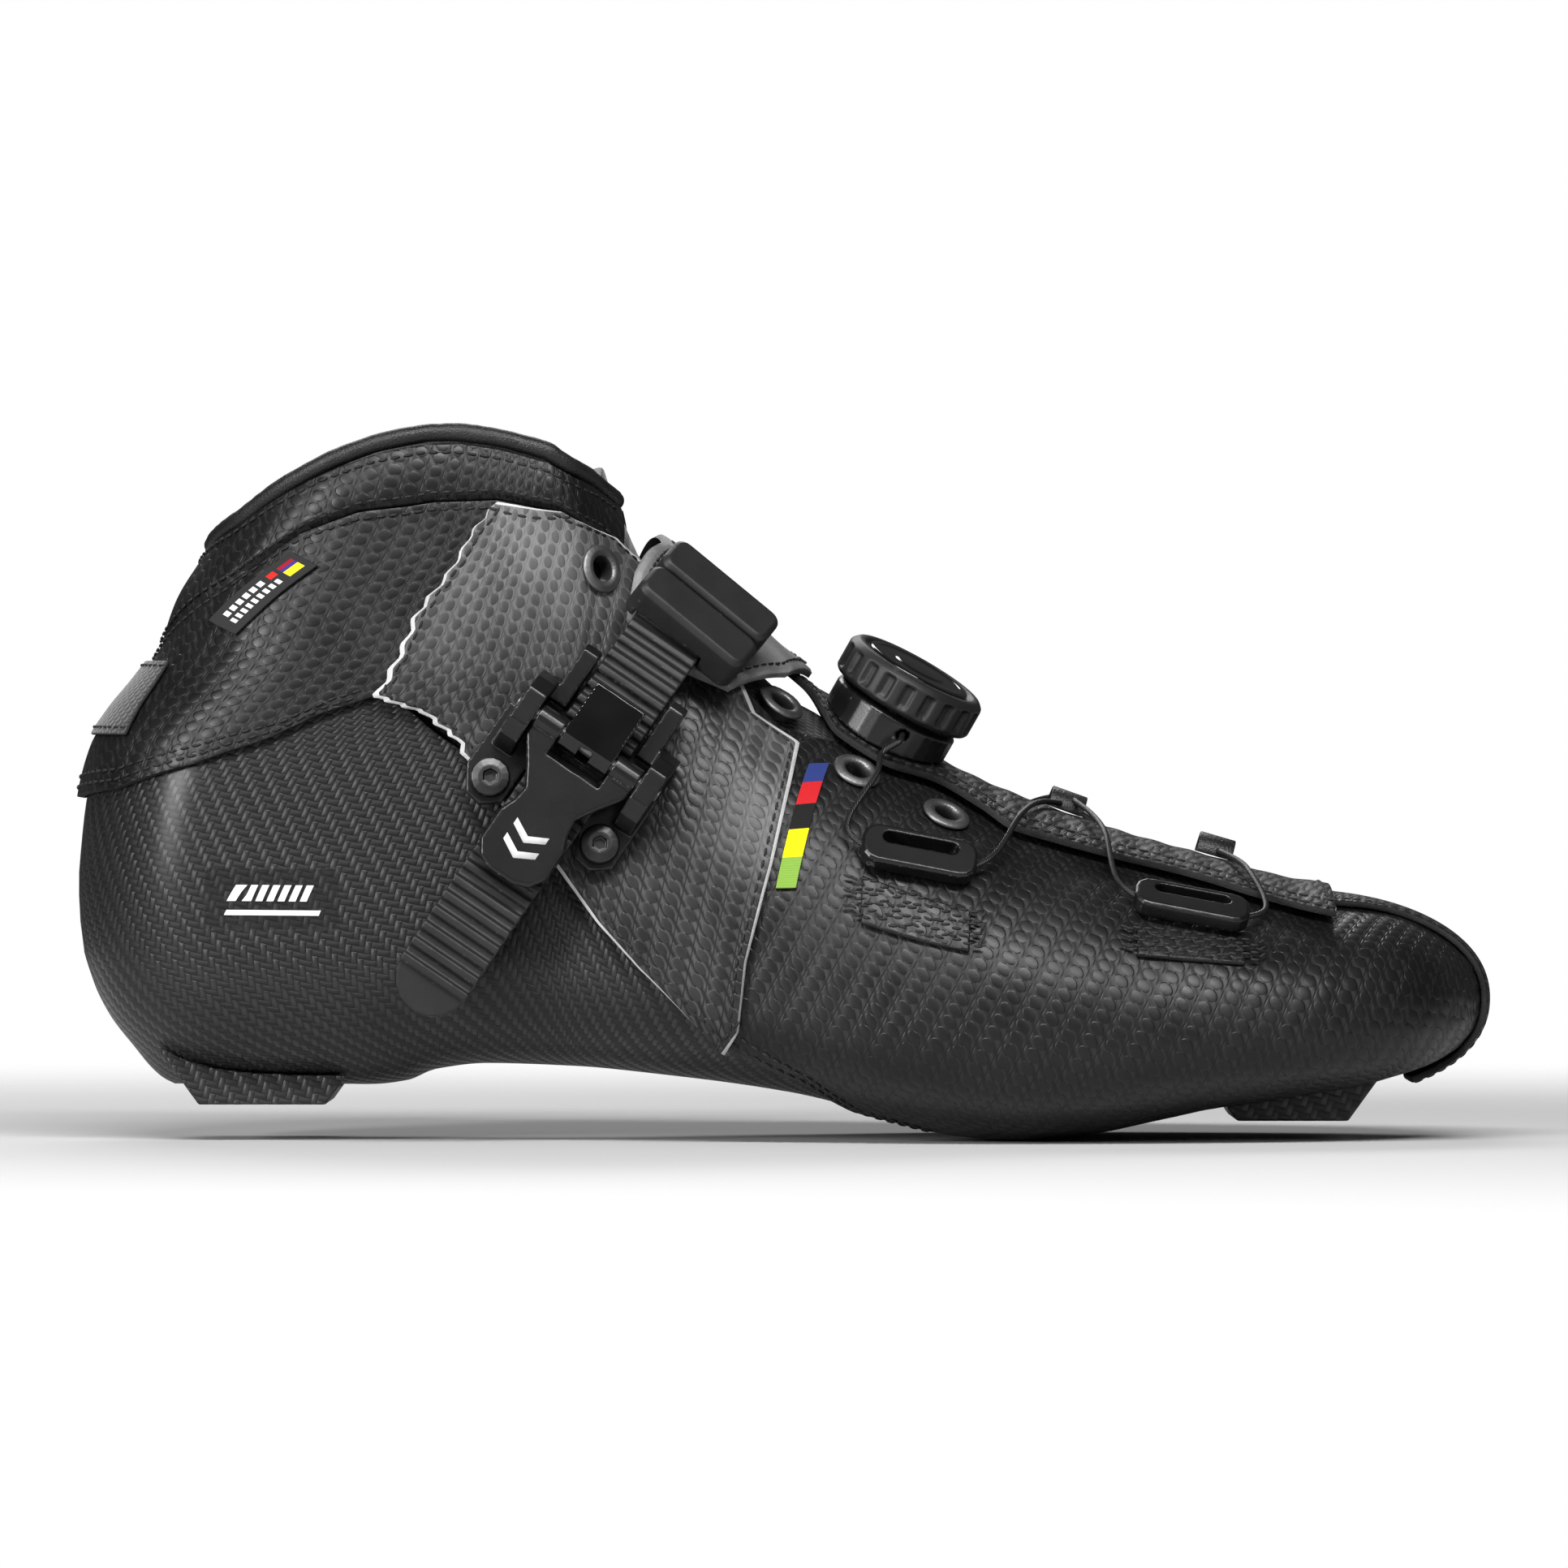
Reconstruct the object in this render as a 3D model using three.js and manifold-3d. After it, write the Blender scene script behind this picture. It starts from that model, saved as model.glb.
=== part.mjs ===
// A low-cut speed skating boot for the right foot: a carbon cup with two frame mounts, a leather upper,
// a wire-lace dial closure on the instep and a ratchet buckle on the ankle strap.
// Millimetres, +X towards the toe, +Z up, lateral (outer) side towards -Y.
import * as THREE from "three";
import { mergeVertices } from "three/addons/utils/BufferGeometryUtils.js";
import Module from "manifold-3d";

const wasm = await Module();
wasm.setup();

// ---------------------------------------------------------------- driving dimensions
const bootLength = 270;
const bootHeight = 134.5;
const ballWidth = 95;
const heelWidth = 65;

const gap = 0.35; // clearance between neighbouring pieces
const shellWall = 2.2;
const leather = 1.3;
const linerFoam = 3.6;
const insoleThickness = 2.6;
const bindingRadius = 1.7;

const mountSpacing = 195; // heel bolt to toe bolt
const heelMountX = 36; // from the back of the heel
const mountPad = { width: 40, heelLength: 24, toeLength: 21, slope: 8, holeRadius: 3.0 };
const insert = { radius: 5, height: 5.5, flangeRadius: 7.5, flangeHeight: 1.4 };

const dial = { knobRadius: 14.2, knobHeight: 7.4, baseRadius: 12.6, stand: 5.4, tiltForward: 30, tiltOut: 16 };
const dialPull = 1.6;
const laceRadius = 0.55;
const guide = { length: 22, height: 9, thickness: 3.4, slot: 14.5 };
const eyelet = { outer: 4.7, barrel: 3, hole: 2.3, rim: 0.8 };

const ladder = { width: 14.6, thickness: 2.6, pitch: 3.45, ridge: 1.0 };
const strap = { width: 31, thickness: 2.2 };
const block = { length: 18.5, width: 25, thickness: 8.2 };
const buckle = { earLength: 30, halfWidth: 15.8, earThickness: 3.2, slotHalf: 7.9 };
const lever = { length: 45, width: 11.4, tabWidth: 14.6, thickness: 2.2 };
const pin = { radius: 1.3, play: 0.08 };

const LATERAL = -1;
const MEDIAL = 1;
const deg = Math.PI / 180;

// ---------------------------------------------------------------- boot form
// The form is the outside of the carbon cup and the surface that the upper is built on. Its outlines, and all
// places given as [x, z], are shares of the form's length and height, seen from the side.
const skin = gap + leather;
const toeStripLayer = { inner: skin + 0.6, outer: skin + 1.6 };
const rimRise = 4; // from the form's top to the top of the rim's binding, with the leather under the ball
const formLength = bootLength - toeStripLayer.outer;
const formHeight = bootHeight - rimRise;
const soleShape = [[0.09, 0.074], [0.14, 0.07], [0.18, 0.076], [0.22, 0.093], [0.27, 0.101], [0.35, 0.097],
  [0.434, 0.081], [0.51, 0.059], [0.577, 0.027], [0.634, 0.006], [0.674, 0], [0.72, 0.007], [0.77, 0.025],
  [0.832, 0.047], [0.9, 0.067], [0.936, 0.08], [1, 0.086]];
const crestShape = [[0, 1.55], [0.18, 1.55], [0.29, 1.5], [0.335, 1.28], [0.36, 1.04], [0.41, 0.82], [0.457, 0.727],
  [0.503, 0.648], [0.56, 0.575], [0.64, 0.487], [0.685, 0.45], [0.742, 0.41], [0.8, 0.377], [0.868, 0.34],
  [1, 0.31]];
const backShape = [[0.057, 0.084], [0.082, 0.059], [0.128, 0.039], [0.174, 0.022], [0.22, 0.011],
  [0.288, 0.002], [0.368, 0], [0.426, 0.002], [0.494, 0.006], [0.563, 0.015], [0.609, 0.029], [0.654, 0.047],
  [0.7, 0.063], [0.775, 0.079], [0.841, 0.097], [0.895, 0.108], [1, 0.12], [1.6, 0.16]];
const girthShape = [[0.178, 0.265], [0.292, 0.277], [0.406, 0.243], [0.52, 0.185], [0.634, 0.148],
  [0.748, 0.145], [0.862, 0.16], [1, 0.199]];
const toeLevel = 0.199;
// Half width, and how far the middle and the instep ridge lie towards the big toe, all in mm.
const widthShape = [[0.12, 0], [0.22, 0.05], [0.32, 0.12], [0.41, 0.26], [0.5, 0.52], [0.62, 0.93], [0.71, 1],
  [0.79, 0.93], [0.86, 0.78], [1, 0.5]];
const middleShape = [[0.1, 0], [0.24, -0.5], [0.35, -1.6], [0.5, -2.4], [0.62, -1.6], [0.75, 0.3], [0.87, 2.2],
  [1, 5]];
const ridgeShape = [[0.25, 0], [0.42, 1.5], [0.55, 5.5], [0.7, 6], [0.85, 4], [1, 1]];

const heelRadius = heelWidth * 0.52;
const soleRound = 2.5; // superellipse powers of the section's lower and upper halves, and of the plan's ends
const crestRound = 2.25;
const heelRound = 2.35;
const toeRound = 2.2;
const toeStart = 0.83 * formLength;
const noseStart = 0.9 * formLength;
const leanLength = 0.28 * formLength;

const smooth = (t) => {
  const c = Math.min(1, Math.max(0, t));
  return c * c * (3 - 2 * c);
};
// Monotone cubic through points, flat beyond the ends.
function curve(points) {
  const n = points.length;
  const slope = points.slice(1).map((p, i) => (p[1] - points[i][1]) / (p[0] - points[i][0]));
  const tangent = points.map((_, i) => {
    if (i === 0 || i === n - 1) return i ? slope[n - 2] : slope[0];
    const [a, b] = [slope[i - 1], slope[i]];
    return a * b <= 0 ? 0 : (2 * a * b) / (a + b);
  });
  return (x) => {
    if (x <= points[0][0]) return points[0][1];
    if (x >= points[n - 1][0]) return points[n - 1][1];
    let i = 0;
    while (x > points[i + 1][0]) i++;
    const h = points[i + 1][0] - points[i][0];
    const t = (x - points[i][0]) / h;
    const s = t * t * (3 - 2 * t);
    return points[i][1] * (1 - s) + points[i + 1][1] * s
      + h * t * (1 - t) * ((1 - t) * tangent[i] - t * tangent[i + 1]);
  };
}
const sized = (shape, sx, sy) => curve(shape.map(([a, b]) => [a * sx, b * sy]));
const soleLine = sized(soleShape, formLength, formHeight);
const crestLine = sized(crestShape, formLength, formHeight);
const girthLine = sized(girthShape, formLength, formHeight);
const backLine = sized(backShape, formHeight, formLength);
const heelHalf = heelWidth / 2;
const halfWidthLine = sized(widthShape.map(([x, w]) => [x, heelHalf + w * (ballWidth / 2 - heelHalf)]),
  formLength, 1);
const middleLine = sized(middleShape, formLength, 1);
const ridgeLine = sized(ridgeShape, formLength, 1);

// Surface coordinates: u runs forward along one side from the back of the heel, and theta goes from -90 at the
// sole's centre line, through 0 at the widest level, to 90 at the crest.
const heelAxis = backLine(0.3 * formHeight) + heelRadius;
const heelArc = heelRadius * Math.PI / 2;
const uBack = heelAxis - heelArc;
const toeArc = (formLength - toeStart) * 1.35;
const uTip = toeStart + toeArc;
const power = (v, p) => Math.max(0, v) ** p;
const leanAt = (z) => backLine(z) + heelRadius - heelAxis;
const leanShare = (xi) => 1 - smooth((xi - heelAxis) / leanLength);
function sectionAt(xi) {
  const nose = xi > noseStart
    ? power(1 - ((xi - noseStart) / (formLength - noseStart)) ** toeRound, 1 / toeRound) : 1;
  const tip = toeLevel * formHeight;
  const close = (z) => tip + (z - tip) * nose;
  return { low: close(soleLine(xi)), mid: close(girthLine(xi)), top: close(crestLine(xi)) };
}
// Folds coordinates that pass the back of the heel, the keel or the crest over to the other side.
function fold(side, u, theta) {
  if (theta > 90) [side, theta] = [-side, 180 - theta];
  if (theta < -90) [side, theta] = [-side, -180 - theta];
  if (u < uBack) [side, u] = [-side, 2 * uBack - u];
  return [side, Math.min(u, uTip), theta];
}
function xiOf(u) {
  if (u <= toeStart) return Math.max(u, heelAxis);
  const psi = ((u - toeStart) / toeArc) * Math.PI / 2;
  return toeStart + (formLength - toeStart) * power(Math.sin(psi), 2 / toeRound);
}
function surface(sideIn, uIn, thetaIn) {
  const [side, u, theta] = fold(sideIn, uIn, thetaIn);
  const xi = xiOf(u);
  let plan = u > toeStart ? power(Math.cos(((u - toeStart) / toeArc) * Math.PI / 2), 2 / toeRound) : 1;
  const { low, mid, top } = sectionAt(xi);
  const s = Math.sin(Math.abs(theta) * deg);
  const c = Math.cos(theta * deg);
  const rise = power(s, 2 / (theta < 0 ? soleRound : crestRound));
  const z = theta < 0 ? mid - (mid - low) * rise : mid + (top - mid) * rise;
  let x = xi + leanAt(z) * leanShare(xi);
  if (u < heelAxis) {
    const phi = ((u - uBack) / heelArc) * Math.PI / 2;
    x -= heelRadius * power(Math.cos(phi), 2 / heelRound);
    plan = power(Math.sin(phi), 2 / heelRound);
  }
  const half = halfWidthLine(xi) * plan * power(c, 2 / (theta < 0 ? soleRound : crestRound));
  const shift = middleLine(xi) + (theta > 0 ? ridgeLine(xi) * rise * rise : 0);
  return new THREE.Vector3(x, shift + side * half, z);
}
function normalAt(side, u, theta) {
  const du = 0.02;
  const dt = 0.05;
  const uu = Math.min(u, uTip - 0.5);
  const a = surface(side, uu + du, theta).sub(surface(side, uu - du, theta));
  const b = surface(side, uu, theta + dt).sub(surface(side, uu, theta - dt));
  const n = a.cross(b);
  if (n.lengthSq() < 1e-12) {
    const [near, far] = [LATERAL, MEDIAL].map((each) => normalAt(each, u + 1, theta * 0.98));
    return near.add(far).normalize();
  }
  n.normalize();
  const [, , folded] = fold(side, uu, theta);
  const xi = Math.min(Math.max(uu, heelAxis), formLength - 4);
  const { mid } = sectionAt(xi);
  const lean = leanAt(surface(side, uu, folded).z) * leanShare(xi);
  const core = new THREE.Vector3(xi + lean, middleLine(xi), mid + (folded > 60 ? 6 : 0));
  if (n.dot(surface(side, u, theta).sub(core)) < 0) n.negate();
  return n;
}
const onSurface = (side, u, theta, offset) =>
  surface(side, u, theta).addScaledVector(normalAt(side, u, theta), offset);

// A side-view place [x, z], or a place { x, theta }, in surface coordinates [u, theta].
function placeOf(place) {
  if (place.u !== undefined) return [place.u, place.theta];
  if (place.theta !== undefined) return [placeOf([place.x, toeLevel])[0], place.theta];
  const [xs, zs] = place;
  const x = xs * formLength;
  const z = zs * formHeight;
  let xi = x;
  for (let i = 0; i < 30; i++) xi = 0.5 * xi + 0.5 * (x - leanAt(z) * leanShare(Math.max(xi, heelAxis)));
  let u = xi;
  if (xi < heelAxis) {
    const reach = Math.min(1, Math.max(0, (heelAxis + leanAt(z) - x) / heelRadius));
    u = uBack + (Math.acos(reach ** (heelRound / 2)) / (Math.PI / 2)) * heelArc;
    xi = heelAxis;
  } else if (xi > toeStart) {
    const reach = Math.min(1, (xi - toeStart) / (formLength - toeStart));
    u = toeStart + (Math.asin(reach ** (toeRound / 2)) / (Math.PI / 2)) * toeArc;
  }
  const { low, mid, top } = sectionAt(xi);
  const t = z < mid ? Math.min(1, (mid - z) / (mid - low)) : Math.min(1, (z - mid) / (top - mid));
  const theta = Math.asin(t ** ((z < mid ? soleRound : crestRound) / 2)) / deg;
  return [u, z < mid ? -theta : theta];
}
// The theta of height z at station u, and back again.
function thetaAt(u, z) {
  const { low, mid, top } = sectionAt(xiOf(u));
  const t = Math.min(1, z < mid ? (mid - z) / (mid - low) : (z - mid) / (top - mid));
  return (Math.sign(z - mid) * Math.asin(t ** ((z < mid ? soleRound : crestRound) / 2))) / deg;
}
const heightAt = (u, theta) => surface(LATERAL, u, theta).z;
// A line drawn through places, as a path of [u, theta] over 0..1, spaced by its length. With level, it is
// straight in height between places and gives [u, height].
function pathOf(places, level = false) {
  const p = places.map(placeOf).map(([u, theta]) => [u, level ? heightAt(u, theta) : theta]);
  const run = [0];
  for (let i = 1; i < p.length; i++) run.push(run[i - 1] + Math.hypot(p[i][0] - p[i - 1][0], p[i][1] - p[i - 1][1]));
  const total = run[run.length - 1];
  return (s) => {
    let i = 0;
    while (i < p.length - 2 && s * total > run[i + 1]) i++;
    const t = (s * total - run[i]) / (run[i + 1] - run[i]);
    return [p[i][0] + (p[i + 1][0] - p[i][0]) * t, p[i][1] + (p[i + 1][1] - p[i][1]) * t];
  };
}
// A line as theta over u: its places run forward in x.
const levelOf = (places) => curve(places.map(placeOf));

// ---------------------------------------------------------------- mesh helpers
function geometryOf(points, triangles) {
  const g = new THREE.BufferGeometry();
  g.setAttribute("position", new THREE.Float32BufferAttribute(points.flatMap((p) => [p.x, p.y, p.z]), 3));
  g.setIndex(triangles);
  let volume = 0;
  for (let i = 0; i < triangles.length; i += 3) {
    const [a, b, c] = [points[triangles[i]], points[triangles[i + 1]], points[triangles[i + 2]]];
    volume += a.dot(b.clone().cross(c));
  }
  if (volume < 0) {
    for (let i = 0; i < triangles.length; i += 3) {
      [triangles[i], triangles[i + 1]] = [triangles[i + 1], triangles[i]];
    }
    g.setIndex(triangles);
  }
  return g;
}
function clean(geometry) {
  const g = geometry.clone();
  g.deleteAttribute("normal");
  g.deleteAttribute("uv");
  return mergeVertices(g, 1e-3);
}
function solidOf(geometry) {
  const g = clean(geometry);
  return new wasm.Manifold(new wasm.Mesh({
    numProp: 3, vertProperties: new Float32Array(g.attributes.position.array), triVerts: new Uint32Array(g.index.array),
  }));
}
function geometryFrom(solid) {
  const mesh = solid.getMesh();
  const g = new THREE.BufferGeometry();
  const points = new Float32Array(mesh.numVert * 3);
  for (let i = 0; i < mesh.numVert; i++) {
    points.set(mesh.vertProperties.subarray(i * mesh.numProp, i * mesh.numProp + 3), i * 3);
  }
  g.setAttribute("position", new THREE.BufferAttribute(points, 3));
  g.setIndex(new THREE.BufferAttribute(new Uint32Array(mesh.triVerts), 1));
  return g;
}
const cut = (body, ...tools) => geometryFrom(tools.reduce((s, t) => s.subtract(solidOf(t)), solidOf(body)));
const join = (body, ...others) => geometryFrom(others.reduce((s, t) => s.add(solidOf(t)), solidOf(body)));

// A layer over the boot form, between two offsets. at(s, t) gives [side, u, theta], or place(s, t) gives a
// point and a normal. zipped: the first column folds onto itself at the back of the heel, so it needs no wall.
function layer({ cols, rows, at, place, inner, outer, zipped = false }) {
  const inside = typeof inner === "function" ? inner : () => inner;
  const outside = typeof outer === "function" ? outer : () => outer;
  const points = [];
  for (const offset of [outside, inside]) {
    for (let i = 0; i <= cols; i++) {
      for (let j = 0; j <= rows; j++) {
        const [s, t] = [i / cols, j / rows];
        if (at) points.push(onSurface(...at(s, t), offset(s, t)));
        else {
          const [point, normal] = place(s, t);
          points.push(point.addScaledVector(normal, offset(s, t)));
        }
      }
    }
  }
  const half = (cols + 1) * (rows + 1);
  const id = (i, j, k) => k * half + i * (rows + 1) + (zipped && i === 0 && j > rows / 2 ? rows - j : j);
  const faces = [];
  const quad = (a, b, c, d) => faces.push(a, b, c, a, c, d);
  for (let i = 0; i < cols; i++) {
    for (let j = 0; j < rows; j++) {
      quad(id(i, j, 0), id(i + 1, j, 0), id(i + 1, j + 1, 0), id(i, j + 1, 0));
      quad(id(i, j, 1), id(i, j + 1, 1), id(i + 1, j + 1, 1), id(i + 1, j, 1));
    }
  }
  for (let i = 0; i < cols; i++) {
    quad(id(i, 0, 0), id(i, 0, 1), id(i + 1, 0, 1), id(i + 1, 0, 0));
    quad(id(i, rows, 0), id(i + 1, rows, 0), id(i + 1, rows, 1), id(i, rows, 1));
  }
  for (let j = 0; j < rows; j++) {
    if (!zipped) quad(id(0, j, 0), id(0, j + 1, 0), id(0, j + 1, 1), id(0, j, 1));
    quad(id(cols, j, 0), id(cols, j, 1), id(cols, j + 1, 1), id(cols, j + 1, 0));
  }
  return geometryOf(points, faces);
}
// The closed form of the whole boot at an offset, used to cut pieces that seat on it.
function formAt(offset, from = -90) {
  const [cols, rows] = [44, 40];
  const points = [];
  const faces = [];
  for (let i = 0; i <= cols; i++) {
    const u = uBack + (uTip - uBack - 1) * (i / cols);
    for (let j = 0; j < rows; j++) points.push(onSurface(LATERAL, u, from + (360 * j) / rows, offset));
  }
  const tip = points.push(onSurface(LATERAL, uTip, 0, offset)) - 1;
  for (let i = 0; i < cols; i++) {
    for (let j = 0; j < rows; j++) {
      const [a, b] = [i * rows + j, i * rows + ((j + 1) % rows)];
      faces.push(a, a + rows, b + rows, a, b + rows, b);
    }
  }
  for (let j = 0; j < rows; j++) faces.push(cols * rows + j, tip, cols * rows + ((j + 1) % rows));
  return geometryOf(points, faces);
}
const moved = (geometry, matrix) => geometry.clone().applyMatrix4(matrix);
const shifted = (geometry, x, y, z) => geometry.clone().translate(x, y, z);
function box(x, y, z, sx, sy, sz) {
  return new THREE.BoxGeometry(sx, sy, sz).translate(x, y, z);
}
// A plate of a plan outline in local X and Y, from z0 to z1.
function plate(outline, z0, z1, bevel = 0) {
  const shape = new THREE.Shape(outline.map(([x, y]) => new THREE.Vector2(x, y)));
  const g = new THREE.ExtrudeGeometry(shape, {
    depth: z1 - z0 - 2 * bevel, steps: 1, bevelEnabled: bevel > 0, bevelThickness: bevel, bevelSize: bevel,
    bevelOffset: -bevel, bevelSegments: 1, curveSegments: 6,
  });
  return g.translate(0, 0, z0 + bevel);
}
function roundedOutline(length, width, radius, steps = 4) {
  const points = [];
  for (const [cx, cy, start] of [[1, 1, 0], [-1, 1, 90], [-1, -1, 180], [1, -1, 270]]) {
    for (let i = 0; i <= steps; i++) {
      const a = (start + (90 * i) / steps) * deg;
      points.push([cx * (length / 2 - radius) + radius * Math.cos(a), cy * (width / 2 - radius) + radius * Math.sin(a)]);
    }
  }
  return points;
}
// A profile in local X (along) and Z (out), swept across local Y from y0 to y1.
function swept(profile, y0, y1) {
  const shape = new THREE.Shape(profile.map(([x, z]) => new THREE.Vector2(x, z)));
  const g = new THREE.ExtrudeGeometry(shape, { depth: y1 - y0, steps: 1, bevelEnabled: false });
  return g.rotateX(Math.PI / 2).translate(0, y1, 0);
}
// A solid turned about local Z from a profile of [radius, height] that starts and ends on the axis.
function turned(profile, segments = 24) {
  return new THREE.LatheGeometry(profile.map(([r, z]) => new THREE.Vector2(r, z)), segments).rotateX(Math.PI / 2);
}
// A rod across local Y.
function rod(x, z, radius, y0, y1, segments = 16) {
  return new THREE.CylinderGeometry(radius, radius, y1 - y0, segments).translate(x, (y0 + y1) / 2, z);
}
function tube(points, radius, steps, sides = 8) {
  const path = new THREE.CatmullRomCurve3(points, false, "centripetal");
  const ring = new THREE.Shape();
  ring.absarc(0, 0, radius, 0, 2 * Math.PI, false);
  return new THREE.ExtrudeGeometry(ring, {
    steps, extrudePath: path, curveSegments: sides / 2, bevelEnabled: false,
  });
}
// A local frame: z outwards, x towards another place on the same side.
function frameFrom(origin, out, towards) {
  const z = out.clone().normalize();
  const x = towards.clone().sub(origin);
  x.addScaledVector(z, -x.dot(z)).normalize();
  const y = z.clone().cross(x);
  return new THREE.Matrix4().makeBasis(x, y, z).setPosition(origin);
}
function frameOn(side, place, target, offset) {
  const [u, theta] = placeOf(place);
  const [tu, tt] = placeOf(target);
  return frameFrom(onSurface(side, u, theta, offset), normalAt(side, u, theta), onSurface(side, tu, tt, offset));
}

// ---------------------------------------------------------------- assembly
const model = new THREE.Group();
const finishes = {
  carbon: [0x17181a, 0.32, 0.1], leather: [0x1b1b1d, 0.5, 0], lining: [0x222224, 0.95, 0],
  greyLeather: [0x8d8d90, 0.6, 0], plastic: [0x1c1c1e, 0.45, 0], gloss: [0x08080a, 0.15, 0],
  rubber: [0x232325, 0.7, 0], steel: [0xb9babd, 0.3, 1], alloy: [0xa8aaad, 0.35, 1], wire: [0x101012, 0.4, 0.3],
  label: [0x2a2a2c, 0.8, 0], clear: [0x303236, 0.1, 0],
};
const materials = Object.fromEntries(Object.entries(finishes).map(([name, [color, roughness, metalness]]) =>
  [name, new THREE.MeshStandardMaterial({ name, color, roughness, metalness })]));
function add(name, geometry, finish, group = model) {
  const mesh = new THREE.Mesh(geometry, materials[finish]);
  mesh.name = name;
  group.add(mesh);
  return mesh;
}

// ---------------------------------------------------------------- layers, outwards from the form
const cupOuter = -0.3;
const cupInner = cupOuter - shellWall;
const linerOuter = cupInner - 1.3;
const linerInner = linerOuter - linerFoam;
const insoleOuter = linerInner - 1.1;
const collarInner = -5.2;
const tongueLayer = { inner: -4.4, outer: -0.6 };
const upperLayer = { inner: gap + 0.4, outer: skin };
const overlayLayer = { inner: skin + 1.05, outer: skin + 1.95 };
const labelLayer = { inner: skin + gap, outer: skin + gap + 0.5 };
const coverLayer = { inner: 3.4, outer: 4.5 };
const strapLayer = { inner: 4.85 };

// ---------------------------------------------------------------- seam lines
const leatherEdge = [[0, 0.49], [0.035, 0.503], [0.092, 0.54], [0.132, 0.569], [0.178, 0.611], [0.223, 0.641]];
const collarSeam = [[0, 0.7], [0.115, 0.797], [0.166, 0.872], [0.206, 0.904], [0.258, 0.918], [0.303, 0.921],
  [0.343, 0.905], [0.37, 0.87]];
const rimLine = [[0, 0.838], [0.121, 0.878], [0.149, 0.92], [0.184, 0.959], [0.218, 0.985], [0.252, 0.999],
  [0.275, 1], [0.303, 0.992], [0.338, 0.973], [0.366, 0.938]];
const coverEdge = [[0.47, 0.72], [0.511, 0.632], [0.537, 0.562], [0.569, 0.52], [0.612, 0.488], [0.64, 0.454],
  [0.664, 0.422], [0.725, 0.386], [0.769, 0.364], [0.83, 0.328], [0.893, 0.296]];
const vampRear = [[0.394, 0.307], [0.464, 0.665]];
const sides = [[LATERAL, "lateral"], [MEDIAL, "medial"]];
const uOf = (x) => placeOf([x, toeLevel])[0];
const lowered = (places, by) => places.map(([x, z]) => [x, z - by]);

// A patch ruled between two paths on one side: s runs along both, t from the first to the second.
const between = (p, q, t) => [p[0] + (q[0] - p[0]) * t, p[1] + (q[1] - p[1]) * t];
function ruled(side, first, second, options) {
  const [a, b] = [pathOf(first), pathOf(second)];
  return layer({ ...options, at: (s, t) => [side, ...between(a(s), b(s), t)] });
}
// The same, straight in height between the paths, for patches on the steep side of the ankle.
// With settle it turns into a plain ruled patch towards s = 1, to meet one there.
function ruledLevel(side, first, second, { settle = false, ...options }) {
  const [a, b] = [pathOf(first, true), pathOf(second, true)];
  return layer({
    ...options,
    at: (s, t) => {
      const [p, q] = [a(s), b(s)];
      const [u, z] = between(p, q, t);
      const [, plain] = between([p[0], thetaAt(...p)], [q[0], thetaAt(...q)], t);
      const share = settle ? smooth(2 * s - 1) : 0;
      return [side, u, thetaAt(u, z) * (1 - share) + plain * share];
    },
  });
}
// A bowl from the back of the heel to an end near the toe, from one side's level under the keel to the other's.
// Stations are close together round the heel, and rows towards the edge, where a degree is the most height.
const bowlCols = 33;
function bowl(from, to, level, options) {
  return layer({
    ...options,
    cols: bowlCols,
    at: (s, t) => {
      const spread = s < 1 / 3 ? 0.66 * s : 0.22 + 1.17 * (s - 1 / 3);
      const u = s === 1 ? to : s === 0 ? from : uBack + (uTip - 2 - uBack) * spread;
      const down = Math.abs(2 * t - 1);
      const theta = -90 + (level(u) + 90) * (1 - (1 - down) ** 1.7);
      return [t < 0.5 ? LATERAL : MEDIAL, u, theta];
    },
  });
}
// A band between two stations, from one side's level over the crest to the other's.
function band(from, to, level, options) {
  return layer({
    ...options,
    at: (s, t) => {
      const u = from + (to - from) * s;
      return [LATERAL, u, level(u) + (180 - 2 * level(u)) * t];
    },
  });
}
// A patch ruled between two lines that run round the back of the heel from one side to the other.
function wrapped(lower, upper, options) {
  const [a, b] = [pathOf(lower, true), pathOf(upper, true)];
  return layer({
    ...options,
    at: (s, t) => {
      const [u, z] = between(a(Math.abs(2 * s - 1)), b(Math.abs(2 * s - 1)), t);
      return [s < 0.5 ? LATERAL : MEDIAL, u, thetaAt(u, z)];
    },
  });
}

// ---------------------------------------------------------------- carbon cup, mounts, liner and foot bed
const shellTop = levelOf([[0, 0.555], [0.05, 0.575], [0.092, 0.605], [0.15, 0.64], [0.2, 0.655], [0.27, 0.57],
  [0.34, 0.43], [0.42, 0.32], [0.52, 0.25], [0.65, 0.215], { x: 0.8, theta: 14 }, { x: 0.95, theta: 14 }]);
let shell = bowl(uBack, uTip - 3, shellTop, { rows: 16, inner: cupInner, outer: cupOuter, zipped: true });

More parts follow.
